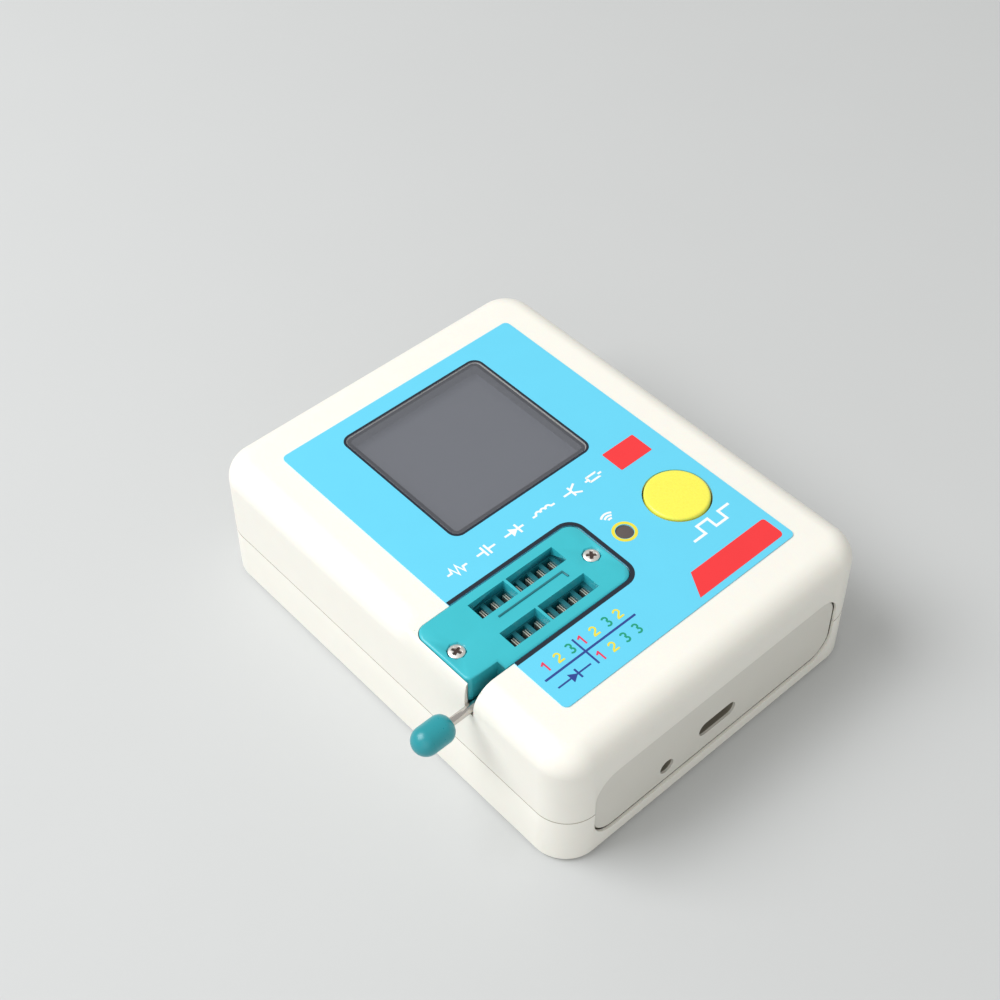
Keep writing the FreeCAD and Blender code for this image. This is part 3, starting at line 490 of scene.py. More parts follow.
@dataclass
class Mouldings:
    """Case halves, panels and socket mouldings: the solids with merged, evenly shaded faces."""

    finishes: dict[str, Finish] = field(default_factory=lambda: {
        "top_shell": Finishes.SHELL, "bottom_shell": Finishes.SHELL,
        "front_end_panel": Finishes.PANEL, "rear_end_panel": Finishes.PANEL,
        # The socket's lower half is dark: painted shade in its wells and the lever's notch
        "zif_cover": Finishes.SOCKET, "zif_base": Finishes.LOWER,
    })
    crease: float = 32.0
    merge: float = 2e-6
    # Edges of the shoulder longer than the finest are cut
    finest: float = 0.8
    cuts: int = 4
    # Left shoulder: centre line and radius, eased length and depth of its face
    shoulder: Triple = (-30.5, 22.5, 4.5)
    eased_length: float = 28.0
    skin: float = 0.2
    # Lip: width of its level and its fall, height, ends along y, and edge in radians with the
    # turn that brings points to it
    lip: Triple = (3.75, 0.75, 4.45)
    lip_ends: Triple = (-23.0, -8.45, -2.45)
    lip_edge: Pair = (0.825, 0.046)
    pocket_corner: Triple = (-31.8, -10.9, 2.45)
    pocket_floor: float = 20.0
    # Share of a normal along one axis that makes a face level
    level: float = 0.9999

    def lip_radius(self, angle: np.ndarray) -> np.ndarray:
        """Gives the distance from the shoulder's centre line to the lip beside the socket.

        The lip is level and then falls in a quarter ellipse. A ray at an angle meets the level
        part at height / sin, or else the ellipse, by its quadratic.

        Args:
            angle: Angles above the level, in radians.

        Returns:
            Distances in millimetres.
        """
        start, width, height = self.lip
        cos, sin = np.cos(angle), np.maximum(np.sin(angle), TINY)
        a = (cos / width) ** 2 + (sin / height) ** 2
        b = -2 * start * cos / width ** 2
        c = (start / width) ** 2 - 1
        ellipse = (-b + np.sqrt(np.maximum(b * b - 4 * a * c, 0))) / (2 * a)
        return np.where(height / sin * cos <= start, height / sin, ellipse)

    def on_shoulder(self, points: np.ndarray) -> np.ndarray:
        """Tells which points lie on the outside of the left shoulder, along the socket.

        Args:
            points: Points of the upper half in millimetres.

        Returns:
            One truth value per point.
        """
        x, z, radius = self.shoulder
        out, rise = x - points[:, 0], points[:, 2] - z
        half = self.eased_length / 2
        along = np.abs(points[:, 1] - self.lip_ends[2] + half) < half
        outside = (np.minimum(out, rise) > -TOUCH) & (np.hypot(out, rise) > radius - self.skin)
        return outside & along

    def ease(self, points: np.ndarray) -> np.ndarray:
        """Moves the points of the left shoulder to its plain round, with a lip beside the socket.

        A point's distance from the centre line becomes R + w (lip - R) at its own angle, where w
        is 1 beside the socket, 0 on the near side of the lever's slot, and fades as 3 t^2 - 2 t^3
        beyond the socket's far end.

        Args:
            points: Points of the upper half in millimetres.

        Returns:
            The moved points.
        """
        x, z, radius = self.shoulder
        near, far, end = self.lip_ends
        edge, turn = self.lip_edge
        out, rise = x - points[:, 0], points[:, 2] - z
        t = np.clip((end - points[:, 1]) / (end - far), 0, 1)
        w = np.where(points[:, 1] > near, t * t * (3 - 2 * t), 0)
        angle = np.arctan2(rise, out)
        angle = angle + w * np.interp(angle, [0, edge, np.pi / 2], [0, turn, 0])
        reach = radius + w * (self.lip_radius(angle) - radius)
        place = np.stack([x - reach * np.cos(angle), points[:, 1], z + reach * np.sin(angle)], -1)
        return np.where(self.on_shoulder(points)[:, None], place, points)

    def refine(self, work: bmesh.types.BMesh, mesh: bpy.types.Mesh) -> None:
        """Cuts the shoulder's long edges and then eases it, so that it shows no wrinkles.

        Args:
            work: Editable copy of the upper half.
            mesh: Its mesh, with the points and edges in the same order.
        """
        points = read(mesh.vertices, "co", 3) / MM
        ends = read(mesh.edges, "vertices", 2).astype(int)
        lengths = np.linalg.norm(points[ends[:, 0]] - points[ends[:, 1]], axis=1)
        chosen = self.on_shoulder(points)[ends].all(1) & (lengths > self.finest)
        work.edges.ensure_lookup_table()
        edges = [work.edges[number] for number in np.flatnonzero(chosen)]
        bmesh.ops.subdivide_edges(work, edges=edges, cuts=self.cuts, use_grid_fill=True)
        bmesh.ops.triangulate(work, faces=work.faces)
        work.to_mesh(mesh)
        eased = self.ease(read(mesh.vertices, "co", 3) / MM)
        mesh.vertices.foreach_set("co", (eased * MM).ravel())

    def copy(self, node: str, finish: Finish, slot: str) -> None:
        """Merges a copy of a solid's mesh and shades it smooth with face-weighted normals.

        Args:
            node: Solid to copy.
            finish: Its material.
            slot: Material slot of the record.
        """
        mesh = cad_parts[node].data.copy()
        work = bmesh.new()
        work.from_mesh(mesh)
        bmesh.ops.remove_doubles(work, verts=work.verts, dist=self.merge)
        bmesh.ops.dissolve_degenerate(work, edges=work.edges, dist=self.merge)
        work.to_mesh(mesh)
        if node == "top_shell":
            self.refine(work, mesh)
        work.free()
        mesh.shade_smooth()
        mesh.set_sharp_from_angle(angle=np.radians(self.crease))
        if node.endswith("end_panel"):
            flat = np.abs(read(mesh.polygons, "normal", 3)).max(1) > self.level
            mesh.polygons.foreach_set("use_smooth", ~flat)
        mesh.materials.clear()
        mesh.materials.append(finish.material())
        obj = add_object(node + "_moulding", mesh)
        evener = obj.modifiers.new("even_normals", "WEIGHTED_NORMAL")
        evener.keep_sharp = True
        evener.weight = 100
        ride(obj, Body.CASE, slot, node)

    def corner(self) -> None:
        """Fills the pocket's far left corner up to the socket's own round corner."""
        x, y, r = self.pocket_corner
        outline = np.vstack([arc(r, 90, 180, 14) + [x, y], [(x - r, y + r)]])
        filler = prism(outline, self.pocket_floor, self.shoulder[1] + self.lip[2])
        filler.piece("pocket_corner", Finishes.SHELL, "white_shell")

    def build(self) -> None:
        """Makes every moulding."""
        for node, finish in self.finishes.items():
            self.copy(node, finish, "turquoise_plastic" if node.startswith("zif") else "white_shell")
        self.corner()


@dataclass
class Joints:
    """Fine dark lines where the case halves meet, dust with painted shade, and painted shade round the end
    panels.
    """

    half: Pair = (35.0, 45.0)
    corner: float = 6.5
    seam: Pair = (10.76, 10.94)
    seam_reach: Pair = (0.004, 0.15)
    panel: Four = (28.3, 7.5, 10.8, 4.5)
    panel_gap: float = 0.15
    panel_face: float = 44.5
    line_depth: float = 0.5
    # Share of the panel's gap that its line fills, and the seam's distance from the gap
    fill: float = 0.98
    stand_off: float = 0.02

    def seam_line(self, side: int) -> Surface:
        """Carries a low flat profile round one side, from panel to panel, in the wall's face: a line of dust
        and painted shade in the seam.

        Args:
            side: -1 for the left, 1 for the right.

        Returns:
            The line's surface.
        """
        hx, hy = self.half
        r, stop = self.corner, self.panel[0] + self.panel_gap + self.stand_off
        bend = arc(r, -90, 0, 24) + [hx - r, -hy + r]
        flat = np.vstack([[(stop, -hy)], bend, bend[::-1] * (1, -1), [(stop, hy)]]) * (side, 1)
        proud, sunk = self.seam_reach
        return sweep(raised(flat, 0), bar(-side * proud, side * sunk, *self.seam))

    def panel_line(self, end: int) -> Surface:
        """Lays a dark line of painted shade in the gap round an end panel: a level ring, stood up by swapping
        y and z.

        Args:
            end: -1 for the front, 1 for the rear.

        Returns:
            The line's surface.
        """
        half_x, half_z, middle, r = self.panel
        gap = self.panel_gap / 2
        x, z = half_x + gap, half_z + gap
        flat = round_box((-x, x, middle - z, middle + z), r + gap, 10)
        profile = bar(-gap * self.fill, gap * self.fill, 0, self.line_depth)
        ring = sweep(raised(flat, self.panel_face - self.line_depth), profile, True)
        return replace(ring, points=ring.points[:, [0, 2, 1]] * (1, end, 1)).outward()

    def build(self) -> None:
        """Makes the lines between the halves, and those round the panels."""
        for name, finish, line in (("seam_lines", Finishes.JOINT, self.seam_line),
                                   ("panel_shade_lines", Finishes.GAP, self.panel_line)):
            Surface.joined([line(-1), line(1)]).piece(name, finish, "white_shell")


@dataclass
class FrontFittings:
    """What shows in the front openings: grey sleeves of painted shade in the inlet's and the lamp's opening,
    and the lamp's nose.
    """

    mouth: tuple[float, ...] = (0.0, 8.95, 4.25, 1.55, 1.45)
    holder: tuple[float, ...] = (-11.7, 6.9, 1.47, 1.47, 1.46)
    sheet: float = 0.12
    depth: Pair = (-44.2, -42.0)
    nose: Triple = (-11.7, -41.9, 6.9)
    nose_radius: float = 1.3
    nose_length: float = 1.6
    nose_dome: float = 0.6

    def sleeve(self, opening: tuple[float, ...]) -> Surface:
        """Makes a short tube of painted shade in an opening: two rings outside, and two a sheet's thickness
        inside.

        Args:
            opening: x and z of its middle, half its width and height, and its corners' radius.

        Returns:
            The closed surface.
        """
        x, z, half_x, half_z, r = opening
        box = np.array([x - half_x, x + half_x, z - half_z, z + half_z])
        inwards = np.array([1, -1, 1, -1])
        outer, inner = (round_box(box + inwards * t, r - t) for t in (0, self.sheet))
        front, back = self.depth
        rings = ((outer, front), (outer, back), (inner, back), (inner, front))
        return grid(np.stack([np.insert(ring, 1, y, axis=1) for ring, y in rings]), True)

    def lamp_nose(self) -> None:
        """Turns the lamp's nose: a barrel with a round end."""
        r, dome = self.nose_radius, self.nose_dome
        end = arc(1, 0, 90, 10) * (r, dome) + [0, self.nose_length - dome]
        nose = turned(np.vstack([[(0, 0), (r, 0)], end]), self.nose, -Y_AXIS, 48)
        nose.piece("lamp_nose", Finishes.SMOKY_LENS, "clear_lens")

    def build(self) -> None:
        """Makes the sleeves and the nose."""
        sleeves = Surface.joined([self.sleeve(self.mouth), self.sleeve(self.holder)])
        sleeves.piece("opening_shade_sleeves", Finishes.SLEEVE, "black_plastic")
        self.lamp_nose()


@dataclass
class FacePrint:
    """Inks on the film: the ring round the socket, the contact table, the tags and the signs."""

    film_z: float = 27.2
    # Height of a line, of a patch, and of each further layer where lines cross
    ink: Triple = (0.02, 0.016, 0.002)
    # Left ends, right side, far and near side of the ring
    ring: Four = (-26.4, 1.05, -8.05, -24.35)
    ring_width: float = 0.78
    ring_corner: float = 2.85
    window: Four = (-16.4, 15.6, 1.4, 32.6)
    window_corner: float = 2.0
    window_edge: float = 0.45
    digit_size: Pair = (1.3, 2.0)
    digit_stroke: float = 0.33
    # Height of each row of the table, with its digits and their places
    rows: tuple = (
        (-27.8, ((1, -23.23), (2, -20.56), (3, -17.95), (1, -15.37), (2, -12.78), (3, -9.98), (2, -7.53))),
        (-32.0, ((1, -15.28), (2, -12.68), (3, -9.99), (3, -7.36))),
    )
    # Start, end, width and layer of the table's lines and its diode's
    table_lines: tuple = (
        ((-25.2, -29.8), (-5.5, -29.8), 0.4, 0), ((-16.54, -26.7), (-16.54, -32.9), 0.35, 1),
        ((-24.6, -32.1), (-17.6, -32.1), 0.3, 0), ((-20.3, -31.1), (-20.3, -33.1), 0.36, 1),
    )
    table_arrow: Pairs = ((-21.9, -31.15), (-21.9, -33.05), (-20.4, -32.1))
    tag: Four = (15.3, 22.75, -5.9, -0.95)
    tag_corner: float = 0.25
    # Left points of the bar, and centre and radius of its right corners
    bar_left: Pairs = ((4.7, -34.5), (7.4, -29.75))
    bar_corners: tuple[Triple, ...] = ((24.1, -33.6, 0.9), (24.4, -30.35, 0.6))
    infrared: Pair = (5.7, -16.2)
    infrared_radius: float = 1.95
    infrared_width: float = 0.55
    wave_foot: Pair = (5.85, -13.1)
    wave_radii: Triple = (0.6, 1.25, 1.9)
    sign_y: float = -3.7
    sign_stroke: float = 0.4
    pulse: Pairs = ((12.6, -25.6), (15.4, -25.6), (15.4, -23.5), (18.0, -23.5), (18.0, -25.6),
                    (20.6, -25.6), (20.6, -23.5), (23.2, -23.5))
    pulse_stroke: float = 0.5
    inks: dict[Finish, list[Surface]] = field(default_factory=dict)

    def strip(self, points: list | np.ndarray, width: float, closed: bool = False,
              layer: int = 0) -> Surface:
        """Lays an ink line: a low box profile carried along the points.

        Args:
            points: Pairs of x and y on the film.
            width: Width of the line.
            closed: Whether it returns to its start.
            layer: How many layers it stands above the first.

        Returns:
            The line's surface.
        """
        top = self.ink[0] + self.ink[2] * layer
        return sweep(raised(points, self.film_z), bar(-width / 2, width / 2, 0.0, top), closed)

    def patch(self, outline: list | np.ndarray) -> Surface:
        """Fills an outline with ink."""
        return prism(np.array(outline), self.film_z, self.film_z + self.ink[1])

    def digit(self, number: int, x: float, y: float) -> list[Surface]:
        """Draws one plain digit of the contact table with round strokes.

        Args:
            number: 1, 2 or 3.
            x: Middle of the digit.
            y: Middle of its height.

        Returns:
            Its strokes.
        """
        w, h = np.array(self.digit_size) / 2
        s = self.digit_stroke
        if number == 1:
            strokes = [[(0.1, -h), (0.1, h)], [(0.1, h - s / 2), (-w * 0.75, h - 0.55)]]
        elif number == 2:
            bow = arc(w - s / 2, 165, -38, 14) + [0, h - w]
            strokes = [np.vstack([bow, [-w + s / 2, -h + s]]), [(-w, -h + s / 2), (w, -h + s / 2)]]
        else:
            strokes = [arc(h / 2 - s / 4, 150, -90, 14) * (1.05, 1) + [0, h / 2],
                       arc(h / 2 - s / 4, 90, -150, 14) * (1.15, 1) - [0, h / 2]]
        return [self.strip(np.array(line) + [x, y], s, layer=k) for k, line in enumerate(strokes)]

    def table(self) -> None:
        """Lays the contact table: coloured digits in two rows, blue lines and a diode."""
        colours = {1: Finishes.PINK_INK, 2: Finishes.YELLOW_INK, 3: Finishes.GREEN_INK}
        for number, colour in colours.items():
            self.inks[colour] = [stroke for y, digits in self.rows for digit, x in digits
                                 if digit == number for stroke in self.digit(digit, x, y)]
        lines = [self.strip(ends, width, layer=layer) for *ends, width, layer in self.table_lines]
        self.inks[Finishes.BLUE_INK] = lines + [self.patch(self.table_arrow)]

    def rings(self) -> None:
        """Lays the navy ring round the socket, the window's dark edge and the infrared hole's ring."""
        left, right, far, near = self.ring
        r = self.ring_corner
        path = np.vstack([[(left, near)], arc(r, -90, 0) + [right - r, near + r],
                          arc(r, 0, 90) + [right - r, far - r], [(left, far)]])
        half = self.window_edge / 2
        edge = round_box(np.array(self.window) + [half, -half, half, -half], self.window_corner - half)
        self.inks[Finishes.NAVY_INK] = [self.strip(path, self.ring_width),
                                        self.strip(edge, self.window_edge, True)]
        ring = arc(self.infrared_radius, 0, 360, 49)[:-1] + self.infrared
        self.inks[Finishes.YELLOW_INK].append(self.strip(ring, self.infrared_width, True))

    def tags(self) -> None:
        """Lays the bare red tag and the bare red bar with its slanted end."""
        low, high = self.bar_left
        near, far = (arc(r, start, start + 90, 6) + [x, y]
                     for (x, y, r), start in zip(self.bar_corners, (-90, 0)))
        tag = round_box(self.tag, self.tag_corner)
        slanted = np.vstack([[low], near, far, [high]])
        self.inks[Finishes.RED_INK] = [self.patch(tag), self.patch(slanted)]

    def symbols(self) -> list:
        """Gives the lines of the circuit symbols, left to right.

        Returns:
            Lists of x on the film and y from the row's middle.
        """
        resistor = [[(-22.6, 0), (-21.7, 0), (-21.4, 1), (-20.8, -1), (-20.2, 1), (-19.6, -1),
                     (-19.3, 0), (-18.4, 0)]]
        capacitor = [[(-16.2, 0), (-14.7, 0)], [(-14.6, -1.15), (-14.6, 1.15)],
                     [(-13.8, -1.15), (-13.8, 1.15)], [(-13.7, 0), (-12.2, 0)]]
        diode = [[(-10.0, 0), (-5.8, 0)], [(-7.0, -1.1), (-7.0, 1.1)]]
        coil = [[(-3.6, 0), (-2.7, 0)], *(arc(0.55, 180, 0, 9) + [x, 0] for x in (-2.2, -1.1, 0.0)),
                [(0.5, 0), (1.4, 0)]]
        transistor = [[(3.6, 0), (5.3, 0)], [(5.4, -1.15), (5.4, 1.15)], [(5.5, 0.4), (6.9, 1.2)],
                      [(5.5, -0.4), (6.9, -1.2)]]
        fuse = [[(8.6, 0), (9.4, 0)], round_box((9.4, 11.6, -0.6, 0.6), 0.05, 2), [(11.6, 0), (12.4, 0)]]
        return resistor + capacitor + diode + coil + transistor + fuse

    def signs(self) -> None:
        """Lays the white signs: circuit symbols, infrared waves and a pulse by the button."""
        lines = [np.array(line) + [0, self.sign_y] for line in self.symbols()]
        lines += [arc(r, 50, 130, 9) + self.wave_foot for r in self.wave_radii]
        made = [self.strip(line, self.sign_stroke, layer=k % 4) for k, line in enumerate(lines)]
        arrow = np.array([(-8.6, -1.0), (-7.1, 0), (-8.6, 1.0)]) + [0, self.sign_y]
        made += [self.strip(self.pulse, self.pulse_stroke), self.patch(arrow)]
        self.inks[Finishes.WHITE_INK] = made

    def build(self) -> None:
        """Makes one piece per ink."""
        self.table()
        self.rings()
        self.tags()
        self.signs()
        for finish, parts in self.inks.items():
            Surface.joined(parts).piece("print_" + finish.name, finish, "label_film")


@dataclass
class Screw:
    """Pan-head screw with a cross recess and a rolled thread."""

    head_radius: float
    head_height: float
    radius: float
    length: float
    pitch: float = 0.8
    thread: float = 0.22
    recess: float = 0.55
    arm: float = 0.3
    # Reach of the recess's arms as a share of the head, and the slopes beside and at their ends
    reach: float = 0.62
    slopes: Pair = (0.16, 0.2)
    # Shares of the recess's depth between which its dark floor of painted shade lies
    floor: Pair = (0.45, 0.85)
    crown: float = 0.25
    tip: float = 0.25
    tip_length: float = 1.2
    steps: int = 72

    def surface(self, at: Station) -> Surface:
        """Makes a screw: a domed head whose height drops in a cross, over a threaded shank.

        On rings of radius r the head's height is H (1 - crown (r / R)^4) less the recess, a slope
        of the distance from the nearer of the cross's two arms, which end at their reach. The
        shank's radius is the core plus a triangle wave of height and angle, and tapers to the tip.

        Args:
            at: Where it stands.

        Returns:
            The closed surface.
        """
        x, y, seat, up, turn = at
        t = np.linspace(0, 2 * np.pi, self.steps, endpoint=False)
        rings = np.concatenate([np.linspace(0.02, 0.86, 22), [0.93, 0.98, 1.0]]) * self.head_radius
        r, around = np.meshgrid(rings, t, indexing="ij")
        angle = around - np.radians(turn)
        aside = np.minimum(np.abs(r * np.sin(angle)), np.abs(r * np.cos(angle)))
        beside, beyond = self.slopes
        cross = np.clip((self.arm - aside) / beside + 0.5, 0, 1)
        cross *= np.clip((self.reach * self.head_radius - r) / beyond + 0.5, 0, 1)
        dome = self.head_height * (1 - self.crown * (r / self.head_radius) ** 4) - self.recess * cross
        levels = np.linspace(0, -self.length, int(self.length / self.pitch * 8))
        z, winding = np.meshgrid(levels, t, indexing="ij")
        wave = np.abs(((z / self.pitch + winding / (2 * np.pi)) % 1) - 0.5) * 2
        taper = np.clip((z + self.length) / self.tip_length + self.tip, self.tip, 1)
        shank = (self.radius - self.thread * (1 - wave)) * taper
        radii = np.concatenate([r, np.full((1, self.steps), self.head_radius), shank])
        heights = np.concatenate([dome, np.zeros((1, self.steps)), z])
        angles = np.concatenate([around, around[:1], winding])
        points = [x + radii * np.cos(angles), y + radii * np.sin(angles), seat + up * heights]
        return grid(np.stack(points, -1), False)

    def painted_recess_shade(self, at: Station) -> Surface:
        """Makes the dark floor of the recess, painted shade: a low cross, a quarter turned four times.

        Args:
            at: Where the screw stands.

        Returns:
            The closed surface.
        """
        x, y, seat, up, turn = at
        a, b = self.arm, self.reach * self.head_radius
        quarter = np.array([a + a * 1j, a + b * 1j, -a + b * 1j])
        cross = np.outer(np.exp(1j * np.radians(turn + np.arange(4) * 90)), quarter).ravel()
        depths = (seat + up * (self.head_height - share * self.recess) for share in self.floor)
        return prism(np.stack([x + cross.real, y + cross.imag], -1), *sorted(depths))


@dataclass
class Fasteners:
    """Socket screws, case screws and board screws."""

    socket_places: Pairs = ((-31.55, -16.2), (-2.05, -16.2))
    socket_seat: float = 26.55
    case_corner: Pair = (29.4, 38.6)
    case_seat: float = 4.2
    board_corner: Pair = (26.5, 31.4)
    board_seat: float = 11.9

    @staticmethod
    def corners(x: float, y: float, seat: float, up: int, step: float) -> list[Station]:
        """Gives four mirrored stations, each turned on by a step."""
        places = [(x * a, y * b) for b in (-1, 1) for a in (-1, 1)]
        return [(*place, seat, up, step * k) for k, place in enumerate(places)]

    def build(self) -> None:
        """Makes the three sets of screws, and the painted shade on the floors of the recesses that show."""
        small = Screw(1.4, 0.9, 0.9, 8.0, recess=0.6, arm=0.26, reach=0.6)
        long = Screw(2.2, 1.5, 1.15, 11.0, pitch=1.0, recess=0.8, arm=0.38)
        wide = Screw(1.9, 1.3, 1.0, 7.0, recess=0.7, arm=0.34)
        tops = [(*place, self.socket_seat, 1, turn) for place, turn in zip(self.socket_places, (20, 51))]
        bottoms = self.corners(*self.case_corner, self.case_seat, -1, 17)
        inner = self.corners(*self.board_corner, self.board_seat, 1, 23)
        for name, node, screw, stations in (
            ("socket_screw_set", "zif_screws", small, tops), ("case_screw_set", "case_screws", long, bottoms),
            ("board_screw_set", "board_screws", wide, inner),
        ):
            screws = Surface.joined([screw.surface(at) for at in stations])
            screws.piece(name, Finishes.SCREW, "steel", node, crease=40.0)
        # Dark crosses of painted shade in the recesses
        recess_shade_parts = [small.painted_recess_shade(at) for at in tops] + [long.painted_recess_shade(at) for at in bottoms]
        Surface.joined(recess_shade_parts).piece("screw_recess_shade_set", Finishes.RECESS, "steel")


@dataclass
class Lever:
    """Bent steel rod with its cam, and the knob on its end."""

    pivot_x: float = -29.15
    arm_y: float = -22.9
    axis_z: float = 22.0
    radius: float = 0.75
    bend: float = 0.9
    axle_end: float = -10.05
    arm_end: float = -44.65
    cam: Four = (1.55, 0.7, -20.45, -18.65)
    chamfer: float = 0.1
    knob_start: float = -38.8
    knob_length: float = 7.45
    knob_radius: float = 2.5
    knob_nose: float = 1.95

    def rod(self) -> None:
        """Carries a circle along axle, bend and arm, and turns the cam on its own line beside them."""
        bend = arc(self.bend, 0, -90, 14) + [self.pivot_x - self.bend, self.arm_y + self.bend]
        flat = np.vstack([[(self.pivot_x, self.axle_end)], bend, [(self.arm_end, self.arm_y)]])
        wire = sweep(raised(flat, self.axis_z), arc(self.radius, 0, 360, 33)[:-1])
        radius, throw, near, far = self.cam
        c, width = self.chamfer, far - near
        profile = np.array([[0, 0], [radius - c, 0], [radius, c], [radius, width - c],
                            [radius - c, width], [0, width]])
        cam = turned(profile, (self.pivot_x, near, self.axis_z + throw), Y_AXIS, 48)
        rod = Surface.joined([wire, cam])
        rod.piece("lever_rod", Finishes.ROD, "steel", "zif_lever", body=Body.LEVER)

    def knob(self) -> None:
        """Turns the knob: a small nose round, a straight barrel and a half round end."""
        r, nose_r = self.knob_radius, self.knob_nose
        nose = arc(nose_r, -90, 0, 12) + [r - nose_r, nose_r]
        end = arc(r, 0, 90, 18) + [0, self.knob_length - r]
        profile = np.vstack([[(0, 0)], nose, end])
        knob = turned(profile, (self.knob_start, self.arm_y, self.axis_z), -X_AXIS)
        # The knob's deeper turquoise is painted shade
        knob.piece("lever_grip", Finishes.KNOB, "turquoise_plastic", "lever_knob", body=Body.LEVER)

    def build(self) -> None:
        """Makes the rod with its cam, and the knob."""
        self.rod()
        self.knob()


@dataclass
class Button:
    """Round start button with its stop flange and stem."""

    x: float = 18.1
    y: float = -16.4
    radius: float = 5.75
    edge: float = 0.5
    edge_drop: float = 0.055
    crown: float = 0.06
    top: float = 27.7
    flange_radius: float = 6.65
    flange: Pair = (24.15, 24.95)
    stem_radius: float = 3.2
    stem_low: float = 17.2

    def build(self) -> None:
        """Turns the cap: stem, flange, wall, round edge and a top with a slight crown."""
        low, high = self.flange
        r = np.linspace(self.radius - self.edge, 0, 14)
        crown = np.stack([r, self.top - self.crown * (r / self.radius) ** 2], -1)
        edge = arc(self.edge, 0, 90, 10)
        edge = edge + [self.radius - self.edge, self.top - self.edge - self.edge_drop]
        foot = [(0, self.stem_low), (self.stem_radius, self.stem_low), (self.stem_radius, low),
                (self.flange_radius, low), (self.flange_radius, high), (self.radius, high)]
        profile = np.vstack([foot, edge, crown[1:]])
        cap = turned(profile, (self.x, self.y, 0), UP, 96)
        cap.piece("start_cap", Finishes.BUTTON, "yellow_plastic", "button_cap", body=Body.BUTTON, crease=40.0)


@dataclass
class Details:
    """Bracket line on the socket, and the infrared receiver's nose in its hole."""

    bracket_z: float = 27.39
    bracket: Pairs = ((-22.17, -15.64), (-8.22, -15.63), (-8.08, -16.99))
    bracket_width: float = 0.4
    bracket_rise: float = 0.25
    bracket_foot: float = -0.02
    nose: Four = (5.7, -16.2, 25.3, 27.1)
    nose_radius: float = 1.56
    nose_crown: float = 0.12

    def bracket_line(self) -> None:
        """Raises the plain bracket line on the socket's top, with a rounded profile, in darker teal as its
        painted shadow.
        """
        half, foot = self.bracket_width / 2, self.bracket_foot
        crest = arc(1, 0, 180, 9) * (half, self.bracket_rise)
        profile = np.vstack([crest, [(-half, foot), (half, foot)]])
        line = sweep(raised(self.bracket, self.bracket_z), profile)
        line.piece("socket_bracket_line", Finishes.COMB, "turquoise_plastic", crease=60.0)

    def receiver_nose(self) -> None:
        """Turns the receiver's nose: a barrel under a shallow dome."""
        x, y, low, high = self.nose
        r = np.linspace(self.nose_radius, 0, 12)
        dome = np.stack([r, high - self.nose_crown * (r / self.nose_radius) ** 2], -1)
        profile = np.vstack([[(0, low), (self.nose_radius, low)], dome])
        nose = turned(profile, (x, y, 0), UP, 48)
        nose.piece("receiver_nose", Finishes.DARK_LENS, "black_plastic", crease=50.0)

    def build(self) -> None:
        """Makes both."""
        self.bracket_line()
        self.receiver_nose()


@dataclass
class Innards:
    """Solids that keep their own shape and only get their finish."""

    nodes: dict[Finish, str] = field(default_factory=lambda: {
        Finishes.FILM: "face_label", Finishes.CLEAR: "display_window",
        Finishes.BEZEL: "display_bezel display_header", Finishes.DISPLAY: "display_glass",
        Finishes.LIGHT_FRAME: "display_frame", Finishes.BOARD: "display_board main_board",
        Finishes.EPOXY: "main_chip charge_chip board_resistors switch_body switch_plunger usb_tongue",
        Finishes.SCREW: "crystal switch_plate", Finishes.DARK_LENS: "infrared_receiver",
        # The comb plate's darker teal is painted shade in the socket's windows
        Finishes.COMB: "zif_slider", Finishes.CONTACT: "zif_contacts", Finishes.INLET: "usb_shell",
        Finishes.SMOKY_LENS: "charge_led", Finishes.FOIL: "battery_cell", Finishes.FOAM: "battery_tape",
        Finishes.RED_SLEEVE: "battery_lead_red", Finishes.BLACK_SLEEVE: "battery_lead_black",
    })

    def build(self) -> None:
        """Gives every kept solid its material."""
        for finish, names in self.nodes.items():
            for node in names.split():
                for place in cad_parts[node].material_slots:
                    place.material = finish.material()
            log.info("%s: %s", names, finish.name)


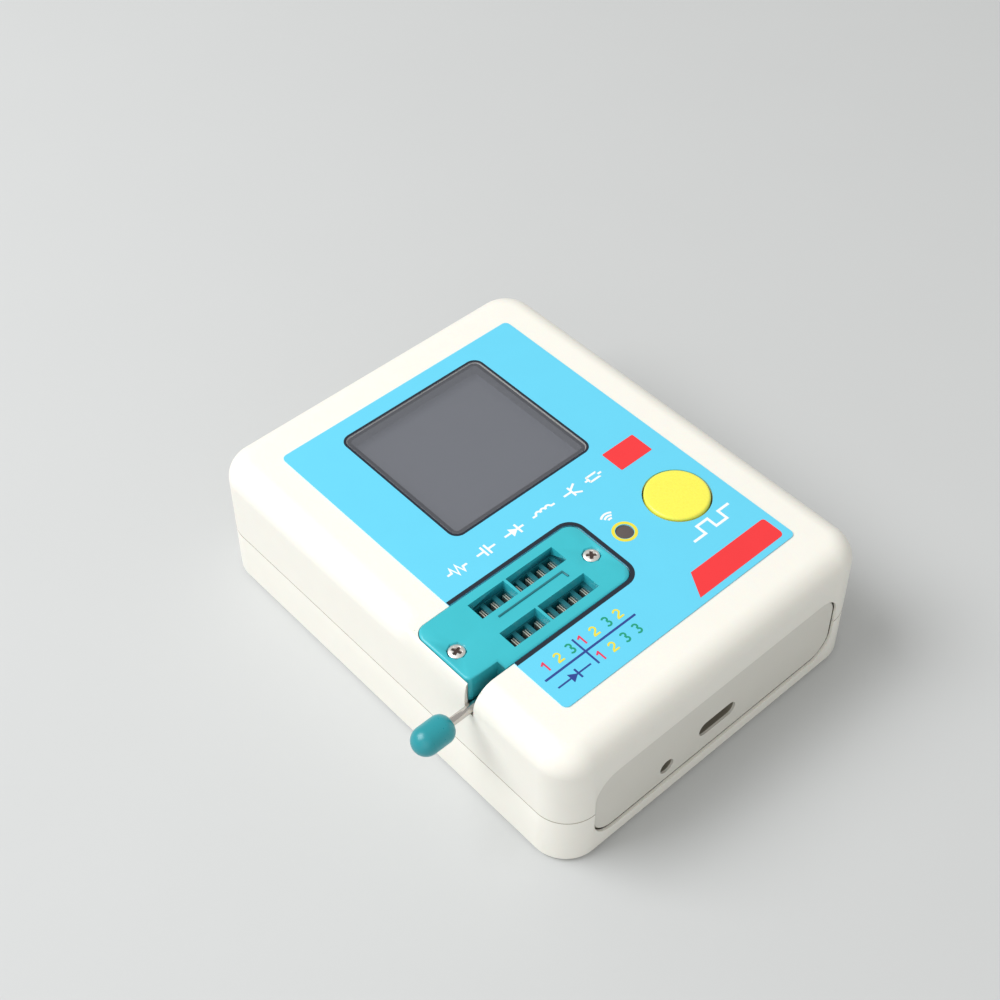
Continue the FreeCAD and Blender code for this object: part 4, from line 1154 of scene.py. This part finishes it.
@dataclass
class Studio:
    """Pale floor, soft lamps and the camera at the photograph's angle."""

    eye: Triple = (-140.144, -147.766, 248.649)
    right: Triple = (0.74212, -0.67025, -0.00349)
    up: Triple = (0.47537, 0.52266, 0.70771)
    lens: float = 63.524
    shift_y: float = -0.08
    nearest: float = 10.0
    # Place and edge length in metres, and power in watts
    lamps: dict[str, tuple[Triple, float, float]] = field(default_factory=lambda: {
        "key": ((-0.45, 0.35, 0.75), 0.6, 7.2), "fill": ((-0.6, -0.5, 0.35), 0.8, 1.1),
    })
    aim: Triple = (0.0, 0.0, 0.015)
    sky_colour: str = "#F6F5F1"
    sky_strength: float = 0.58
    paper: Finish = Finish("matt_paper", "#C9CBCC", 0.9, grain=3.0, relief=0.0, tone=0.01)
    # Half the floor's edge in metres, and its height in millimetres
    floor_half: float = 3.0
    floor_z: float = -0.05

    def camera(self) -> None:
        """Sets the camera by its eye point and its right and up directions."""
        data = bpy.data.cameras.new("photo_camera")
        data.lens = self.lens
        data.shift_y = self.shift_y
        data.clip_start = self.nearest * MM
        obj = add_object("photo_camera", data)
        right, up = Vector(self.right), Vector(self.up)
        place = Matrix((right, up, right.cross(up))).transposed().to_4x4()
        place.translation = Vector(self.eye) * MM
        obj.matrix_world = place
        bpy.context.scene.camera = obj

    def hang_lamps(self) -> None:
        """Hangs square soft lamps that face the middle of the tester."""
        for name, (place, size, power) in self.lamps.items():
            data = bpy.data.lights.new(name, "AREA")
            data.size = size
            data.energy = power
            facing = (Vector(place) - Vector(self.aim)).to_track_quat("Z", "Y").to_matrix().to_4x4()
            add_object(name, data).matrix_world = Matrix.Translation(Vector(place)) @ facing

    def floor(self) -> None:
        """Lays the floor: a wide square just under the case."""
        half, low = self.floor_half, self.floor_z * MM
        mesh = bpy.data.meshes.new("floor")
        corners = raised(bar(-half, half, -half, half), low)
        mesh.from_pydata(corners.tolist(), [], [(0, 1, 2, 3)])
        mesh.materials.append(self.paper.material())
        obj = add_object("floor", mesh)

    def build(self) -> None:
        """Makes the camera, lamps, world and floor."""
        self.camera()
        self.hang_lamps()
        world = bpy.data.worlds.new("studio")
        world.use_nodes = True
        sky = world.node_tree.nodes["Background"]
        sky.inputs["Color"].default_value = linear(self.sky_colour)
        sky.inputs["Strength"].default_value = self.sky_strength
        bpy.context.scene.world = world
        bpy.context.scene.view_settings.view_transform = "Standard"
        self.floor()


def main() -> None:
    """Builds every sub-assembly in order and notes the sizes."""
    parts = (Studio(), Mouldings(), Joints(), FrontFittings(), Innards(), FacePrint(), Fasteners(),
             Lever(), Button(), Details())
    for part in parts:
        log.info("building %s", type(part).__name__)
        part.build()


if __name__ == "__main__":
    main()
